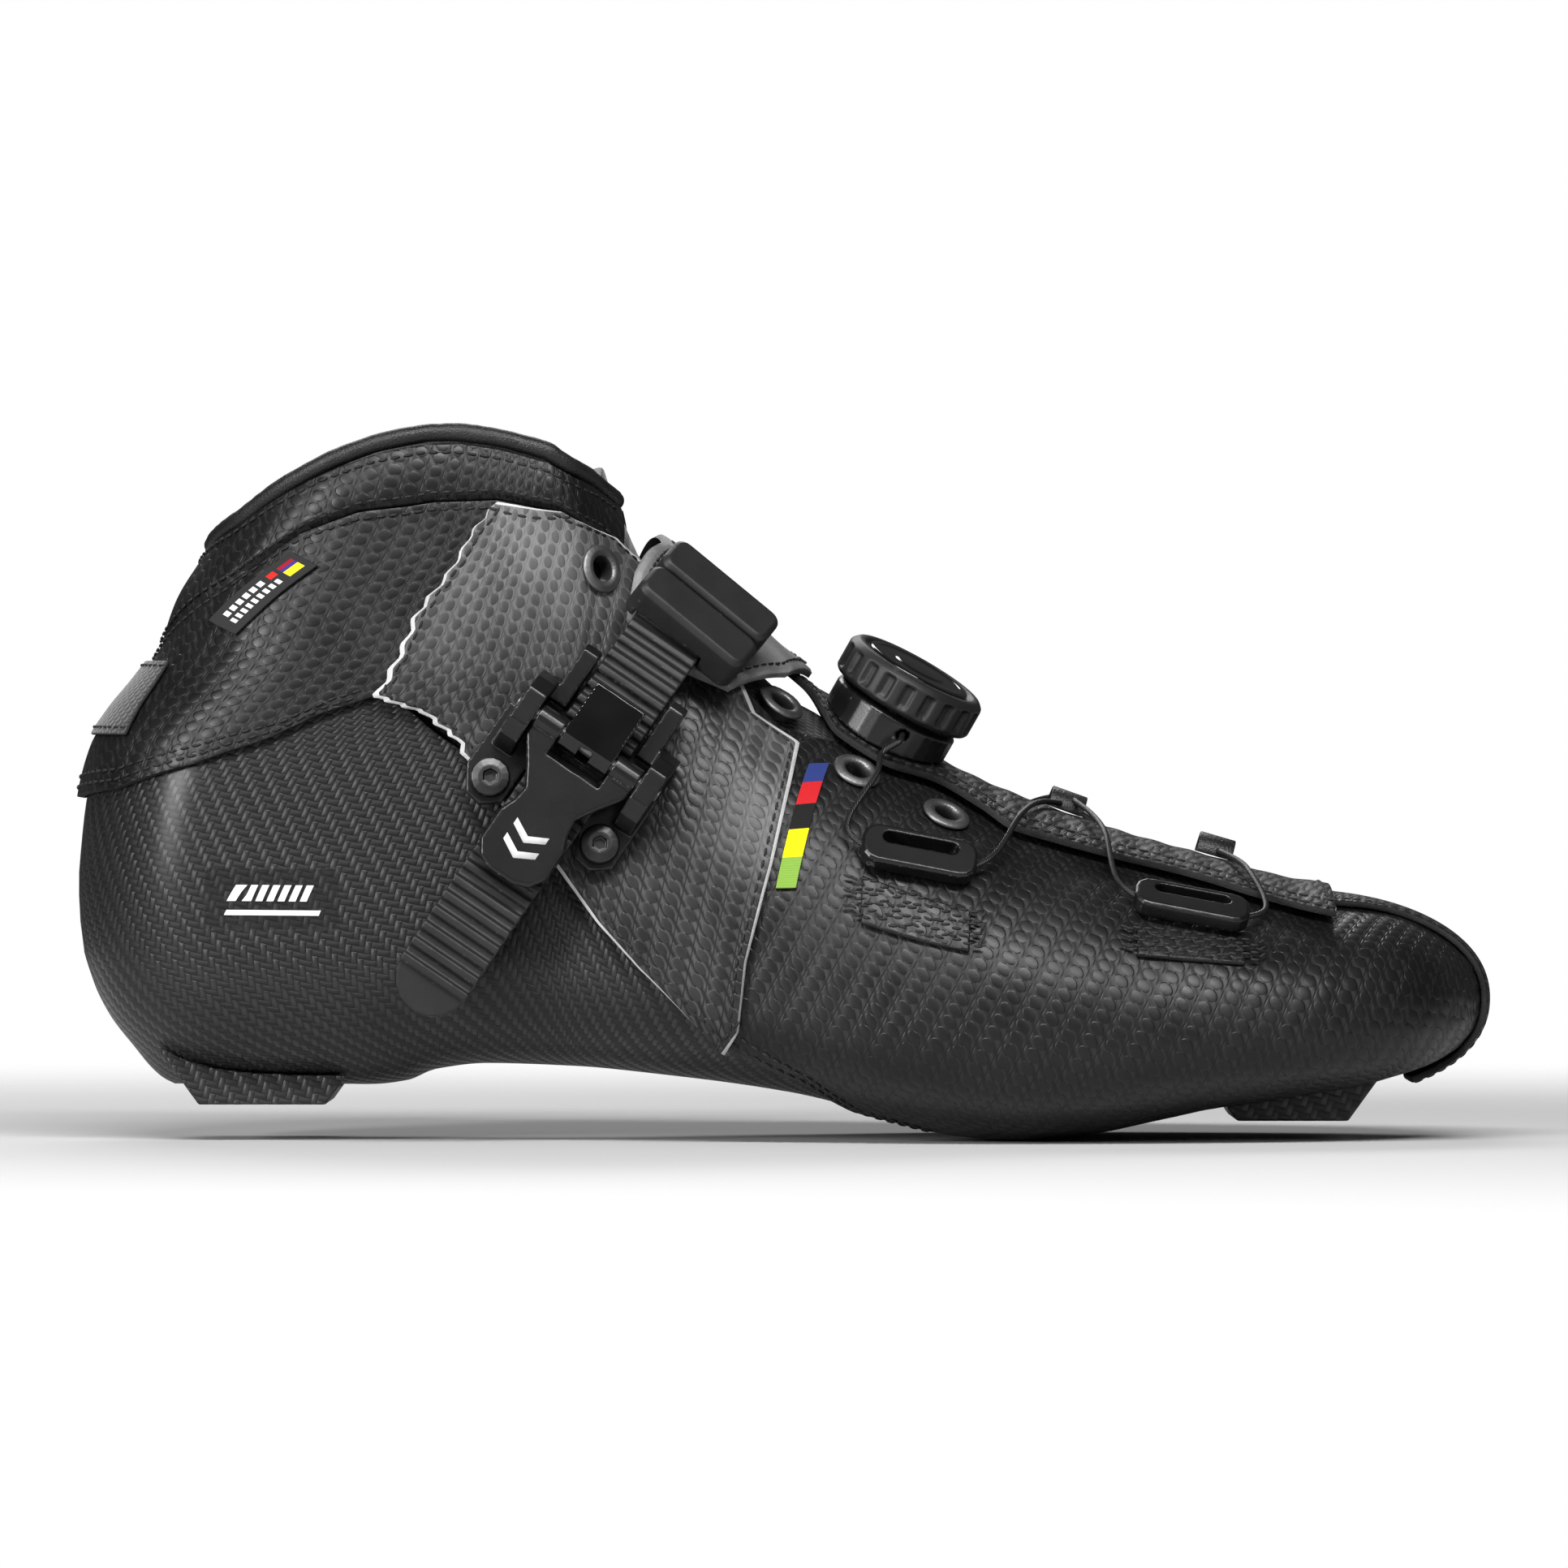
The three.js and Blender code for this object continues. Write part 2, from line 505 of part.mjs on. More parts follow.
const heelLevel = 0.046 * formHeight;
const toeBlockLevel = 0.022 * formHeight;
const toeMountX = heelMountX + mountSpacing;
const mounts = [
  ["heel", heelMountX, heelLevel, mountPad.heelLength, heelWidth * 0.58],
  ["toe", toeMountX, toeBlockLevel, mountPad.toeLength, mountPad.width],
];
const formSolid = formAt(gap);
for (const [name, x, level, length, width] of mounts) {
  const depth = 11;
  const outline = [[x - length / 2, level], [x + length / 2, level],
    [x + length / 2 + mountPad.slope, level + depth], [x - length / 2 - mountPad.slope, level + depth]];
  const base = swept(outline, middleLine(x) - width / 2, middleLine(x) + width / 2);
  const bore = new THREE.CylinderGeometry(insert.radius + gap, insert.radius + gap, 2 * depth, 24)
    .rotateX(Math.PI / 2).translate(x, middleLine(x), level);
  add(`${name}_mount_pad`, cut(base, formSolid, bore), "carbon");
  shell = cut(shell, bore);
  const top = level + insert.height;
  add(`${name}_insert`, turned([[mountPad.holeRadius, level + 0.4], [insert.radius, level + 0.4],
    [insert.radius, top], [mountPad.holeRadius, top], [mountPad.holeRadius, level + 0.4]], 24)
    .translate(x, middleLine(x), 0), "steel");
}
const linerTop = levelOf([[0, 0.687], [0.115, 0.783], [0.166, 0.858], [0.206, 0.89], [0.258, 0.904],
  [0.303, 0.907], [0.343, 0.885], [0.365, 0.83], { x: 0.41, theta: 46 }, { x: 0.83, theta: 46 },
  { x: 0.87, theta: 82 }, { x: 0.95, theta: 82 }]);
add("liner", bowl(uBack, uTip - 6, linerTop, {
  rows: 14, inner: linerInner, outer: linerOuter, zipped: true,
}), "lining");
const [insoleFrom, insoleTo] = [uBack + 12, uOf(0.9)];
add("insole", layer({
  cols: 22, rows: 8, inner: insoleOuter - insoleThickness, outer: insoleOuter,
  at: (s, t) => {
    const theta = -90 + 45 * Math.abs(2 * t - 1);
    return [t < 0.5 ? LATERAL : MEDIAL, insoleFrom + (insoleTo - insoleFrom) * s, theta];
  },
}), "lining");

// ---------------------------------------------------------------- upper
const quarterLower = [...leatherEdge, [0.275, 0.59], [0.306, 0.51], [0.349, 0.42], [0.39, 0.312]];
const quarterUpper = [...lowered(collarSeam, 0.009), [0.392, 0.825], [0.425, 0.755], [0.459, 0.672]];
const vampLower = [[0.394, 0.307], [0.429, 0.222], [0.471, 0.134], [0.52, 0.088], [0.554, 0.05],
  { x: 0.61, theta: -72 }, { x: 0.74, theta: -66 }, { x: 0.8, theta: -57 }, { x: 0.94, theta: -57 },
  { x: 0.998, theta: -60 }];
const vampUpper = [[0.464, 0.665], [0.5, 0.585], { x: 0.56, theta: 68 }, { x: 0.66, theta: 76 },
  { x: 0.8, theta: 80 }, { x: 0.88, theta: 87 }, { x: 0.998, theta: 87 }];
const anchorRear = [[0.303, 0.915], [0.286, 0.872], [0.266, 0.803], [0.246, 0.752], [0.235, 0.7], [0.217, 0.634],
  [0.252, 0.611], [0.275, 0.574], [0.292, 0.515], [0.338, 0.414], [0.375, 0.311], [0.406, 0.243], [0.466, 0.136]];
const anchorFront = [[0.345, 0.9], [0.378, 0.86], [0.434, 0.757], [0.463, 0.672], [0.48, 0.6], [0.512, 0.556],
  [0.508, 0.506], [0.497, 0.391], [0.48, 0.254], [0.475, 0.16]];
const leatherPieces = {};
for (const [side, name] of sides) {
  leatherPieces[`quarter_${name}`] = ruledLevel(side, quarterLower, quarterUpper, {
    cols: 20, rows: 5, settle: true, ...upperLayer,
  });
  leatherPieces[`vamp_${name}`] = ruled(side, vampLower, vampUpper, { cols: 18, rows: 9, ...upperLayer });
  leatherPieces[`anchor_${name}`] = ruledLevel(side, anchorRear, anchorFront, {
    cols: 16, rows: 7, ...overlayLayer,
  });
}
add("collar", wrapped(collarSeam, rimLine, {
  cols: 32, rows: 3, outer: skin,
  inner: (s) => collarInner + (gap - collarInner) * smooth((Math.abs(2 * s - 1) - 0.7) / 0.18),
}), "lining");
const rimPath = pathOf(rimLine, true);
const bindingPoints = [];
for (let i = -16; i <= 16; i++) {
  const [u, z] = rimPath(Math.abs(i) / 16);
  bindingPoints.push(onSurface(i < 0 ? LATERAL : MEDIAL, u, thetaAt(u, z), skin - bindingRadius)
    .add(new THREE.Vector3(0, 0, bindingRadius + 2 * gap)));
}
add("collar_binding", tube(bindingPoints, bindingRadius, 40), "leather");
add("achilles_patch", wrapped([[0, 0.575], [0.045, 0.575]], [[0, 0.68], [0.075, 0.68]], {
  cols: 12, rows: 4, inner: skin + 0.6, outer: skin + 1.3,
}), "greyLeather");
add("tongue", band(uOf(0.372), uOf(0.81), () => 53, { cols: 16, rows: 7, ...tongueLayer }), "lining");
const coverLevel = levelOf(coverEdge);
add("lace_cover", band(uOf(0.474), uOf(0.893), coverLevel, { cols: 18, rows: 8, ...coverLayer }), "leather");

// The toe strip runs over the nose: each point is where a line of slope alpha, v across, leaves the form.
function inForm(x, y, z) {
  if (x >= formLength) return false;
  const { low, mid, top } = sectionAt(x);
  const t = z < mid ? (mid - z) / (mid - low) : (z - mid) / (top - mid);
  if (t >= 1) return false;
  const round = z < mid ? soleRound : crestRound;
  const plan = x > toeStart
    ? power(1 - power((x - toeStart) / (formLength - toeStart), toeRound), 1 / toeRound) : 1;
  const shift = middleLine(x) + (z > mid ? ridgeLine(x) * t * t : 0);
  return Math.abs(y - shift) < halfWidthLine(x) * plan * power(1 - t ** round, 1 / round);
}
function noseAt(alpha, v) {
  const from = new THREE.Vector3(0.875 * formLength, middleLine(0.97 * formLength) + v, toeLevel * formHeight);
  const along = new THREE.Vector3(Math.cos(alpha * deg), 0, Math.sin(alpha * deg));
  let [near, far] = [0, 60];
  for (let i = 0; i < 40; i++) {
    const r = (near + far) / 2;
    const p = from.clone().addScaledVector(along, r);
    if (inForm(p.x, p.y, p.z)) near = r;
    else far = r;
  }
  return from.addScaledVector(along, near);
}
function noseNormal(alpha, v) {
  const a = noseAt(alpha + 0.5, v).sub(noseAt(alpha - 0.5, v));
  const b = noseAt(alpha, v + 0.3).sub(noseAt(alpha, v - 0.3));
  return b.cross(a).normalize();
}
const stripHalf = curve([[-34, 12], [0, 10], [35, 12], [82, 19]]);
add("toe_strip", layer({
  cols: 12, rows: 6, ...toeStripLayer,
  place: (s, t) => {
    const alpha = 82 - 116 * s;
    const v = stripHalf(alpha) * (2 * t - 1);
    return [noseAt(alpha, v), noseNormal(alpha, v)];
  },
}), "leather");

// ---------------------------------------------------------------- labels
add("heel_sticker", ruled(LATERAL, [[0.097, 0.3], [0.192, 0.3]], [[0.097, 0.391], [0.192, 0.391]], {
  cols: 8, rows: 5, inner: 0.3, outer: 0.6,
}), "clear");
add("side_tag", ruled(LATERAL, [[0.104, 0.742], [0.16, 0.842]], [[0.122, 0.722], [0.178, 0.822]], {
  cols: 8, rows: 3, ...labelLayer,
}), "label");
add("stripe_tag", ruled(LATERAL, [[0.52, 0.529], [0.4995, 0.357]], [[0.5345, 0.529], [0.514, 0.357]], {
  cols: 8, rows: 2, ...labelLayer,
}), "label");

// ---------------------------------------------------------------- eyelets
const eyeletPlaces = [[0.366, 0.815], [0.499, 0.617], [0.554, 0.517], [0.617, 0.454]];
for (const [side, name] of sides) {
  eyeletPlaces.forEach((place, i) => {
    const frame = frameOn(side, place, [0.9, 0.3], 0);
    const hole = moved(new THREE.CylinderGeometry(eyelet.barrel + gap, eyelet.barrel + gap, 14, 12).rotateX(Math.PI / 2), frame);
    const piece = `${i === 0 ? "quarter" : "vamp"}_${name}`;
    leatherPieces[piece] = cut(leatherPieces[piece], hole);
    if (i === 0) leatherPieces[`anchor_${name}`] = cut(leatherPieces[`anchor_${name}`], hole);
    const z = (i === 0 ? overlayLayer.outer : skin) + gap + 0.2;
    add(`eyelet_${name}_${i + 1}`, moved(turned([[eyelet.hole, z - 2.2], [eyelet.barrel, z - 2.2],
      [eyelet.barrel, z], [eyelet.outer, z], [eyelet.outer - 0.4, z + eyelet.rim], [eyelet.hole, z + eyelet.rim],
      [eyelet.hole, z - 2.2]], 14), frame), "steel");
  });
}

// ---------------------------------------------------------------- lace guides and loops
const guidePlaces = [["rear", [0.597, 0.391], [0.7, 0.345]], ["front", [0.789, 0.311], [0.86, 0.28]]];
const guideFrames = {};
for (const [side, name] of sides) {
  for (const [where, place, ahead] of guidePlaces) {
    guideFrames[`${where}_${name}`] = [side, frameOn(side, place, ahead, skin + gap)];
    const [u, theta] = placeOf(place);
    add(`guide_tab_${where}_${name}`, layer({
      cols: 6, rows: 2, inner: skin + 0.4, outer: skin + 1.2,
      at: (s, t) => [side, u - 10 + 20 * s, theta - 9 - 10 * t],
    }), "leather");
  }
}
const laceBore = laceRadius + 0.5;
// The lace's way through a guide, in the guide's frame: it dips towards the sole between the two ends.
const channelPoints = (down) => [[-14, -3.2], [-10.5, 0.4], [-6, 1.8], [6, 1.8], [10.5, 0.4], [14, -3.2]]
  .map(([x, y]) => [x, down * y, 2]);
for (const [key, [side, frame]] of Object.entries(guideFrames)) {
  const [h, w] = [guide.thickness, guide.height];
  const down = side === LATERAL ? -1 : 1;
  const body = plate(roundedOutline(guide.length, w, 3.2, 3), 0.3, h + 0.3, 0.5);
  const slot = plate(roundedOutline(guide.slot, 2.8, 1.2, 2), -1, h + 2).translate(0, -down * 1.6, 0);
  const channel = tube(channelPoints(down).map((p) => new THREE.Vector3(...p)), laceBore, 10);
  add(`lace_guide_${key}`, moved(cut(body, slot, channel), frame), "plastic");
}
const loopPlaces = [["rear", 0.7], ["front", 0.808]];
for (const [where, x] of loopPlaces) {
  const [u, over] = [uOf(x), coverLayer.outer + gap];
  const frame = frameFrom(onSurface(LATERAL, u, 90, over), normalAt(LATERAL, u, 90),
    onSurface(LATERAL, u + 20, 90, over));
  const outerArch = [[4.6, 0], [4, 2], [2, 3.9], [-2, 3.9], [-4, 2], [-4.6, 0]];
  const innerArch = [[-3.7, 0], [-3.2, 1.7], [-1.6, 3.1], [1.6, 3.1], [3.2, 1.7], [3.7, 0]];
  add(`lace_loop_${where}`, moved(swept([...outerArch, ...innerArch], -3.5, 3.5), frame), "leather");
}

// ---------------------------------------------------------------- dial
const dialPlace = { x: 0.568, theta: 78 };
const dialFrame = (() => {
  const [u, theta] = placeOf(dialPlace);
  const over = coverLayer.outer + gap;
  return frameFrom(onSurface(LATERAL, u, theta, over), normalAt(LATERAL, u, theta),
    onSurface(LATERAL, u + 20, theta, over));
})();
const seat = moved(formAt(coverLayer.outer + gap), dialFrame.clone().invert());
const top = dial.stand;
const baseProfile = [[0, -4], [dial.baseRadius, -4], [dial.baseRadius, top - 0.8], [dial.baseRadius - 0.8, top],
  [9.2, top], [9.2, 1.7], [0, 1.7]];
const dialAxisTop = top + 0.7 + dial.knobHeight;
const spoolProfile = [[2.3, 2.1], [8.6, 2.1], [8.4, 2.7], [6.4, 3.1], [6.4, 4.1], [8.4, 4.5], [8.6, top - 0.1],
  [2.3, top - 0.1], [2.3, 2.1]];
const k0 = top + 0.7;
const [kr, kt] = [dial.knobRadius, dialAxisTop];
const knobProfile = [[2.3, k0 + 2.2], [kr - 2.2, k0 + 2.2], [kr - 2.2, k0], [kr - 0.7, k0], [kr, k0 + 0.8],
  [kr, kt - 1.2], [kr - 1.2, kt], [kr - 2.6, kt], [kr - 3.2, kt - 0.8], [4.2, kt - 0.8], [4.2, k0 + 3.5],
  [2.3, k0 + 3.5], [2.3, k0 + 2.2]];
const grips = [];
const gripCount = 20;
for (let i = 0; i < gripCount; i++) {
  grips.push(new THREE.BoxGeometry(1.6, 1.3, 4).translate(kr, 0, (k0 + kt) / 2).rotateZ((2 * Math.PI * i) / gripCount));
}
add("dial_spool", moved(turned(spoolProfile, 20), dialFrame), "plastic");
add("dial_knob", moved(cut(turned(knobProfile, 32), ...grips), dialFrame), "rubber");
add("dial_pawl_ring", moved(turned([[kr - 4.6, k0 + 0.3], [kr - 2.6, k0 + 0.3], [kr - 2.6, k0 + 1.8],
  [kr - 4.6, k0 + 1.8], [kr - 4.6, k0 + 0.3]], 20), dialFrame), "alloy");
add("dial_cap", moved(turned([[0, kt - 0.45], [kr - 3.6, kt - 0.45], [kr - 3.9, kt + 0.2], [0, kt + 0.3]], 28),
  dialFrame), "gloss");
const screwHead = k0 + 3.5 + dialPull + 0.25;
add("dial_screw", moved(turned([[0, 2.3], [1.9, 2.3], [1.9, screwHead], [3.7, screwHead], [3.7, kt - 1.2],
  [0, kt - 1.2]], 20), dialFrame), "steel");

// ---------------------------------------------------------------- ratchet buckle
// In the buckle's frame x runs along the ladder to its free end, y across, z outwards.
const bucklePlace = [0.366, 0.55];
const buckleFrame = frameOn(LATERAL, bucklePlace, [0.243, 0.191], overlayLayer.outer + gap);
const buckleSeat = moved(formAt(overlayLayer.outer + gap), buckleFrame.clone().invert());
const floorTop = 1.4;
const ladderBottom = floorTop + gap;
const ladderTop = ladderBottom + ladder.thickness;
const hub = 2.6;
const pinHeight = ladderTop + hub + 0.3;
const earInner = buckle.halfWidth - buckle.earThickness - 1;
const earTop = pinHeight + 3.1;
const feet = [["front", 12.9, 11.6], ["rear", 14, -12.4]];

let base = join(plate(roundedOutline(18, 2 * buckle.halfWidth, 4), -4, floorTop),
  ...feet.map(([, x, y]) => plate([[0, y - 5], [x, y - 5.2], [x + 4.6, y - 2.4], [x + 5.2, y + 1],
    [x + 2.6, y + 4.5], [0, y + 4.5]], -5, floorTop)));
base = cut(base, buckleSeat);
const ear = [[-8.4, 0.6], [8.4, 0.6], [8.4, 3], [6.4, 7.6], [3.4, earTop], [-3.4, earTop], [-6.4, 7.6], [-8.4, 3]];
const prong = [[-17, 0.4], [-4.4, 0.4], [-4.4, 5.2], [-15.5, 5.6], [-17, 4.4]];
for (const s of [-1, 1]) {
  const [e0, e1] = [s * earInner, s * (buckle.halfWidth - 0.3)].sort((a, b) => a - b);
  const [p0, p1] = [s * (buckle.slotHalf + 0.1), s * 11.3].sort((a, b) => a - b);
  base = join(base, swept(ear, e0, e1), swept(prong, p0, p1));
}
const pinBore = rod(0, pinHeight, pin.radius + pin.play, -20, 20);
const screwBores = feet.map(([, x, y]) => new THREE.CylinderGeometry(2.1, 2.1, 30, 12).rotateX(Math.PI / 2)
  .translate(x, y, 0));
add("buckle_base", moved(cut(base, pinBore, ...screwBores), buckleFrame), "plastic");
add("buckle_pin", moved(rod(0, pinHeight, pin.radius, -buckle.halfWidth, buckle.halfWidth), buckleFrame), "steel");
feet.forEach(([name, x, y], i) => {
  const head = turned([[0, -4.6], [1.7, -4.6], [1.7, floorTop + 0.2], [3.9, floorTop + 0.2],
    [3.6, floorTop + 1.5], [2.2, floorTop + 1.9], [0, floorTop + 1.9]], 16);
  const socket = new THREE.CylinderGeometry(1.5, 1.5, 2.4, 6).rotateX(Math.PI / 2).translate(0, 0, floorTop + 1.9);
  add(`buckle_screw_${name}`, moved(shifted(cut(head, socket), x, y, 0), buckleFrame), "steel");
  const bore = moved(screwBores[i], buckleFrame);
  leatherPieces.anchor_lateral = cut(leatherPieces.anchor_lateral, bore);
  leatherPieces.quarter_lateral = cut(leatherPieces.quarter_lateral, bore);
  shell = cut(shell, bore);
});

const leverBottom = pinHeight - 0.9;
const [armHalf, armInner] = [earInner - 0.35, 5.8];
const neck = lever.width / 2;
const tab = lever.tabWidth / 2;
const leverEdge = [[0, armHalf], [4, armHalf], [8.5, neck + 2.4], [12.5, neck], [15.5, neck + 0.4], [18.5, tab],
  [25, tab], [27.8, tab - 1.8], [29, tab - 4.6]];
const leverOutline = [...leverEdge, ...leverEdge.map(([x, y]) => [x, -y]).reverse()];
const leverBody = cut(
  join(plate(leverOutline, leverBottom, leverBottom + lever.thickness, 0.4),
    rod(0, pinHeight, hub, -armHalf, armHalf)),
  box(0, 0, pinHeight, 10.4, 2 * armInner, 12), pinBore);
add("buckle_lever", moved(leverBody, buckleFrame), "plastic");
add("drive_pawl", moved(swept([[6, leverBottom - 0.3], [6, leverBottom - 1.1], [7.8, ladderTop + 1.3 - 0.9],
  [9, ladderTop + 0.4], [10, leverBottom - 0.3]], -4.6, 4.6), buckleFrame), "alloy");
const thumb = [[-11.5, pinHeight + 1.1], [-11.2, pinHeight + 2.4], [-3, pinHeight + 2.8], [0, pinHeight + hub],
  [2.3, pinHeight + 1.2], [2.5, pinHeight - 0.8], [3.4, ladderTop + 0.4], [2, ladderTop + 0.4],
  [0.2, pinHeight - 2.1], [-2, pinHeight - 1.3], [-3.6, pinHeight + 0.6]];
const springSlot = box(-1, 0, pinHeight - 0.8, 7.2, 2.6, 6);
add("release_pawl", moved(cut(swept(thumb, -5.4, 5.4), pinBore, springSlot), buckleFrame), "gloss");

// ---------------------------------------------------------------- ankle strap with its block and ladder
const strapOuter = strapLayer.inner + strap.thickness;
const overPlaces = (places) => places.map(placeOf).map(([u, theta]) => ({ u, theta: 180 - theta }));
const strapRear = [[0.384, 0.735], [0.386, 0.803], [0.408, 0.85], { x: 0.413, theta: 90 },
  ...overPlaces([[0.4, 0.85], [0.375, 0.74], [0.345, 0.63]])];
const strapFront = [[0.458, 0.622], [0.495, 0.637], [0.512, 0.665], { x: 0.513, theta: 90 },
  ...overPlaces([[0.505, 0.675], [0.45, 0.58], [0.395, 0.51]])];
let strapBand = ruled(LATERAL, strapRear, strapFront, {
  cols: 24, rows: 4, inner: strapLayer.inner, outer: strapOuter,
});
const anchorScrewFrame = frameOn(MEDIAL, [0.392, 0.61], [0.45, 0.7], 0);
const anchorBore = moved(new THREE.CylinderGeometry(2.2, 2.2, 24, 12).rotateX(Math.PI / 2), anchorScrewFrame);
strapBand = cut(strapBand, anchorBore);
leatherPieces.anchor_medial = cut(leatherPieces.anchor_medial, anchorBore);
leatherPieces.quarter_medial = cut(leatherPieces.quarter_medial, anchorBore);
add("ankle_strap", strapBand, "greyLeather");
add("strap_screw", moved(turned([[0, -1.8], [1.8, -1.8], [1.8, strapOuter + gap], [5.4, strapOuter + gap],
  [4.8, strapOuter + 1.8], [0, strapOuter + 2.2]], 20), anchorScrewFrame), "steel");

const blockFrame = frameOn(LATERAL, [0.425, 0.7], bucklePlace, strapOuter + 1.7);
const toBuckle = buckleFrame.clone().invert();
const ladderRoot = new THREE.Vector3(3.4, 0, 3.6).applyMatrix4(blockFrame).applyMatrix4(toBuckle);
const straightFrom = -12;
const straightTo = 30;
const ladderEnd = 58;
const bendIn = (ladderBottom + 1.3 - ladderRoot.z) / (ladderRoot.x - straightFrom) ** 2;
const bendOut = 5.5 / (ladderEnd - straightTo) ** 2;
const ladderDrop = (x) => {
  if (x < straightFrom) return bendIn * (x - straightFrom) ** 2;
  return x > straightTo ? bendOut * (x - straightTo) ** 2 : 0;
};
function ladderSolid(grow) {
  const [below, above] = [[], []];
  const plateTop = ladderTop - ladder.ridge;
  const first = ladderRoot.x - grow;
  for (let i = 0; i <= 22; i++) {
    const x = first + ((ladderEnd + grow - first) * i) / 22;
    below.push([x, ladderBottom - grow - ladderDrop(x)]);
  }
  above.push([ladderEnd + grow, plateTop + grow - ladderDrop(ladderEnd)]);
  for (let x = ladderEnd - 6; x > first + 4; x -= ladder.pitch) {
    for (const [dx, dz] of [[0, 0], [-0.5, ladder.ridge], [-1.7, ladder.ridge], [-2.4, 0]]) {
      above.push([x + dx, plateTop + grow + (grow ? ladder.ridge : dz) - ladderDrop(x + dx)]);
    }
  }
  above.push([first, plateTop + grow - ladderDrop(first)]);
  return swept([...below, ...above], -ladder.width / 2 - grow, ladder.width / 2 + grow);
}
const middleX = (ladderRoot.x + ladderEnd) / 2;
const ladderPlan = plate(roundedOutline(ladderEnd - ladderRoot.x + 12, ladder.width, ladder.width / 2 - 0.2),
  -40, 40).translate(middleX - 6, 0, 0);
add("ladder_strap", moved(geometryFrom(solidOf(ladderSolid(0)).intersect(solidOf(ladderPlan))), buckleFrame),
  "plastic");
const halfBlock = block.length / 2;
const ladderPocket = moved(ladderSolid(0.4), buckleFrame);
add("ladder_block", cut(moved(plate(roundedOutline(halfBlock - 0.2, block.width, 2.4), 0.1, block.thickness, 0.9)
  .translate(halfBlock / 2 + 0.1, 0, 0), blockFrame), ladderPocket), "rubber");
add("strap_clamp", cut(moved(plate(roundedOutline(halfBlock - 0.2, block.width, 2.4), 0.1, block.thickness, 0.9)
  .translate(-halfBlock / 2 - 0.1, 0, 0), blockFrame), ladderPocket), "rubber");

// ---------------------------------------------------------------- lace
const overCover = coverLayer.outer + gap + laceRadius;
const overVamp = skin + gap + laceRadius;
const laceAt = (side, x, z, offset) => onSurface(side, ...placeOf([x, z]), offset);
const inFrame = (frame, x, y, z) => new THREE.Vector3(x, y, z).applyMatrix4(frame);
// A guide's channel, from its rear end to its front end.
function throughGuide(where, name) {
  const [side, frame] = guideFrames[`${where}_${name}`];
  const down = side === LATERAL ? -1 : 1;
  return channelPoints(down).map(([x, y, z]) => inFrame(frame, x, y, z));
}
const loopFrames = {};
for (const [where, x] of loopPlaces) {
  const u = uOf(x);
  const over = coverLayer.outer + gap;
  loopFrames[where] = frameFrom(onSurface(LATERAL, u, 90, over), normalAt(LATERAL, u, 90),
    onSurface(LATERAL, u + 20, 90, over));
}
const exitPoints = (s) => [[3, s * 10.2, 3], [3, s * 12.6, 2.6], [3, s * 15.4, 2]];
const laceExit = (s) => exitPoints(s).map((p) => inFrame(dialFrame, ...p));
const laceRoute = [
  ...laceExit(-1), laceAt(LATERAL, 0.566, 0.52, overCover + 0.5), laceAt(LATERAL, 0.564, 0.495, overCover + 0.5),
  ...throughGuide("rear", "lateral"),
  laceAt(LATERAL, 0.665, 0.425, overCover + 0.8), laceAt(LATERAL, 0.68, 0.445, overCover + 0.2),
  inFrame(loopFrames.rear, -1.6, -5, 0.75), inFrame(loopFrames.rear, 0, 0, 0.8), inFrame(loopFrames.rear, 1.6, 5, 0.75),
  laceAt(MEDIAL, 0.725, 0.4, overCover + 0.9),
  ...throughGuide("front", "medial"),
  laceAt(MEDIAL, 0.828, 0.345, overCover + 0.6),
  inFrame(loopFrames.front, 0.8, 5, 0.8), inFrame(loopFrames.front, 0, 0, 0.9), inFrame(loopFrames.front, 0.8, -5, 0.8),
  laceAt(LATERAL, 0.828, 0.345, overCover + 0.6),
  ...throughGuide("front", "lateral").reverse(),
  laceAt(LATERAL, 0.725, 0.4, overCover + 0.9),
  inFrame(loopFrames.rear, 1.6, -5, 2), inFrame(loopFrames.rear, 0, 0, 2.2), inFrame(loopFrames.rear, -1.6, 5, 2),
  laceAt(MEDIAL, 0.68, 0.445, overCover + 0.4), laceAt(MEDIAL, 0.665, 0.425, overCover + 0.8),
  ...throughGuide("rear", "medial").reverse(),
  laceAt(MEDIAL, 0.564, 0.5, overCover + 0.5), laceAt(MEDIAL, 0.571, 0.55, overCover + 0.6),
  ...laceExit(1).reverse(),
];
add("lace", tube(laceRoute, laceRadius, 104), "wire");
const laceExits = [-1, 1].map((s) => tube([[3, s * 8, 3.4], ...exitPoints(s)].map((p) => new THREE.Vector3(...p)),
  laceBore + 0.2, 6));

// ---------------------------------------------------------------- pieces cut by their neighbours, and the frame
add("dial_base", moved(cut(turned(baseProfile, 32), seat, ...laceExits), dialFrame), "plastic");
for (const [name, geometry] of Object.entries(leatherPieces)) add(name, geometry, "leather");
add("carbon_shell", shell, "carbon");

// The origin is the bottom centre of the boot's box.
const bounds = new THREE.Box3().setFromObject(model);
const centre = bounds.getCenter(new THREE.Vector3());
model.position.set(-centre.x, -centre.y, -bounds.min.z);
export default model;
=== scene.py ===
import math

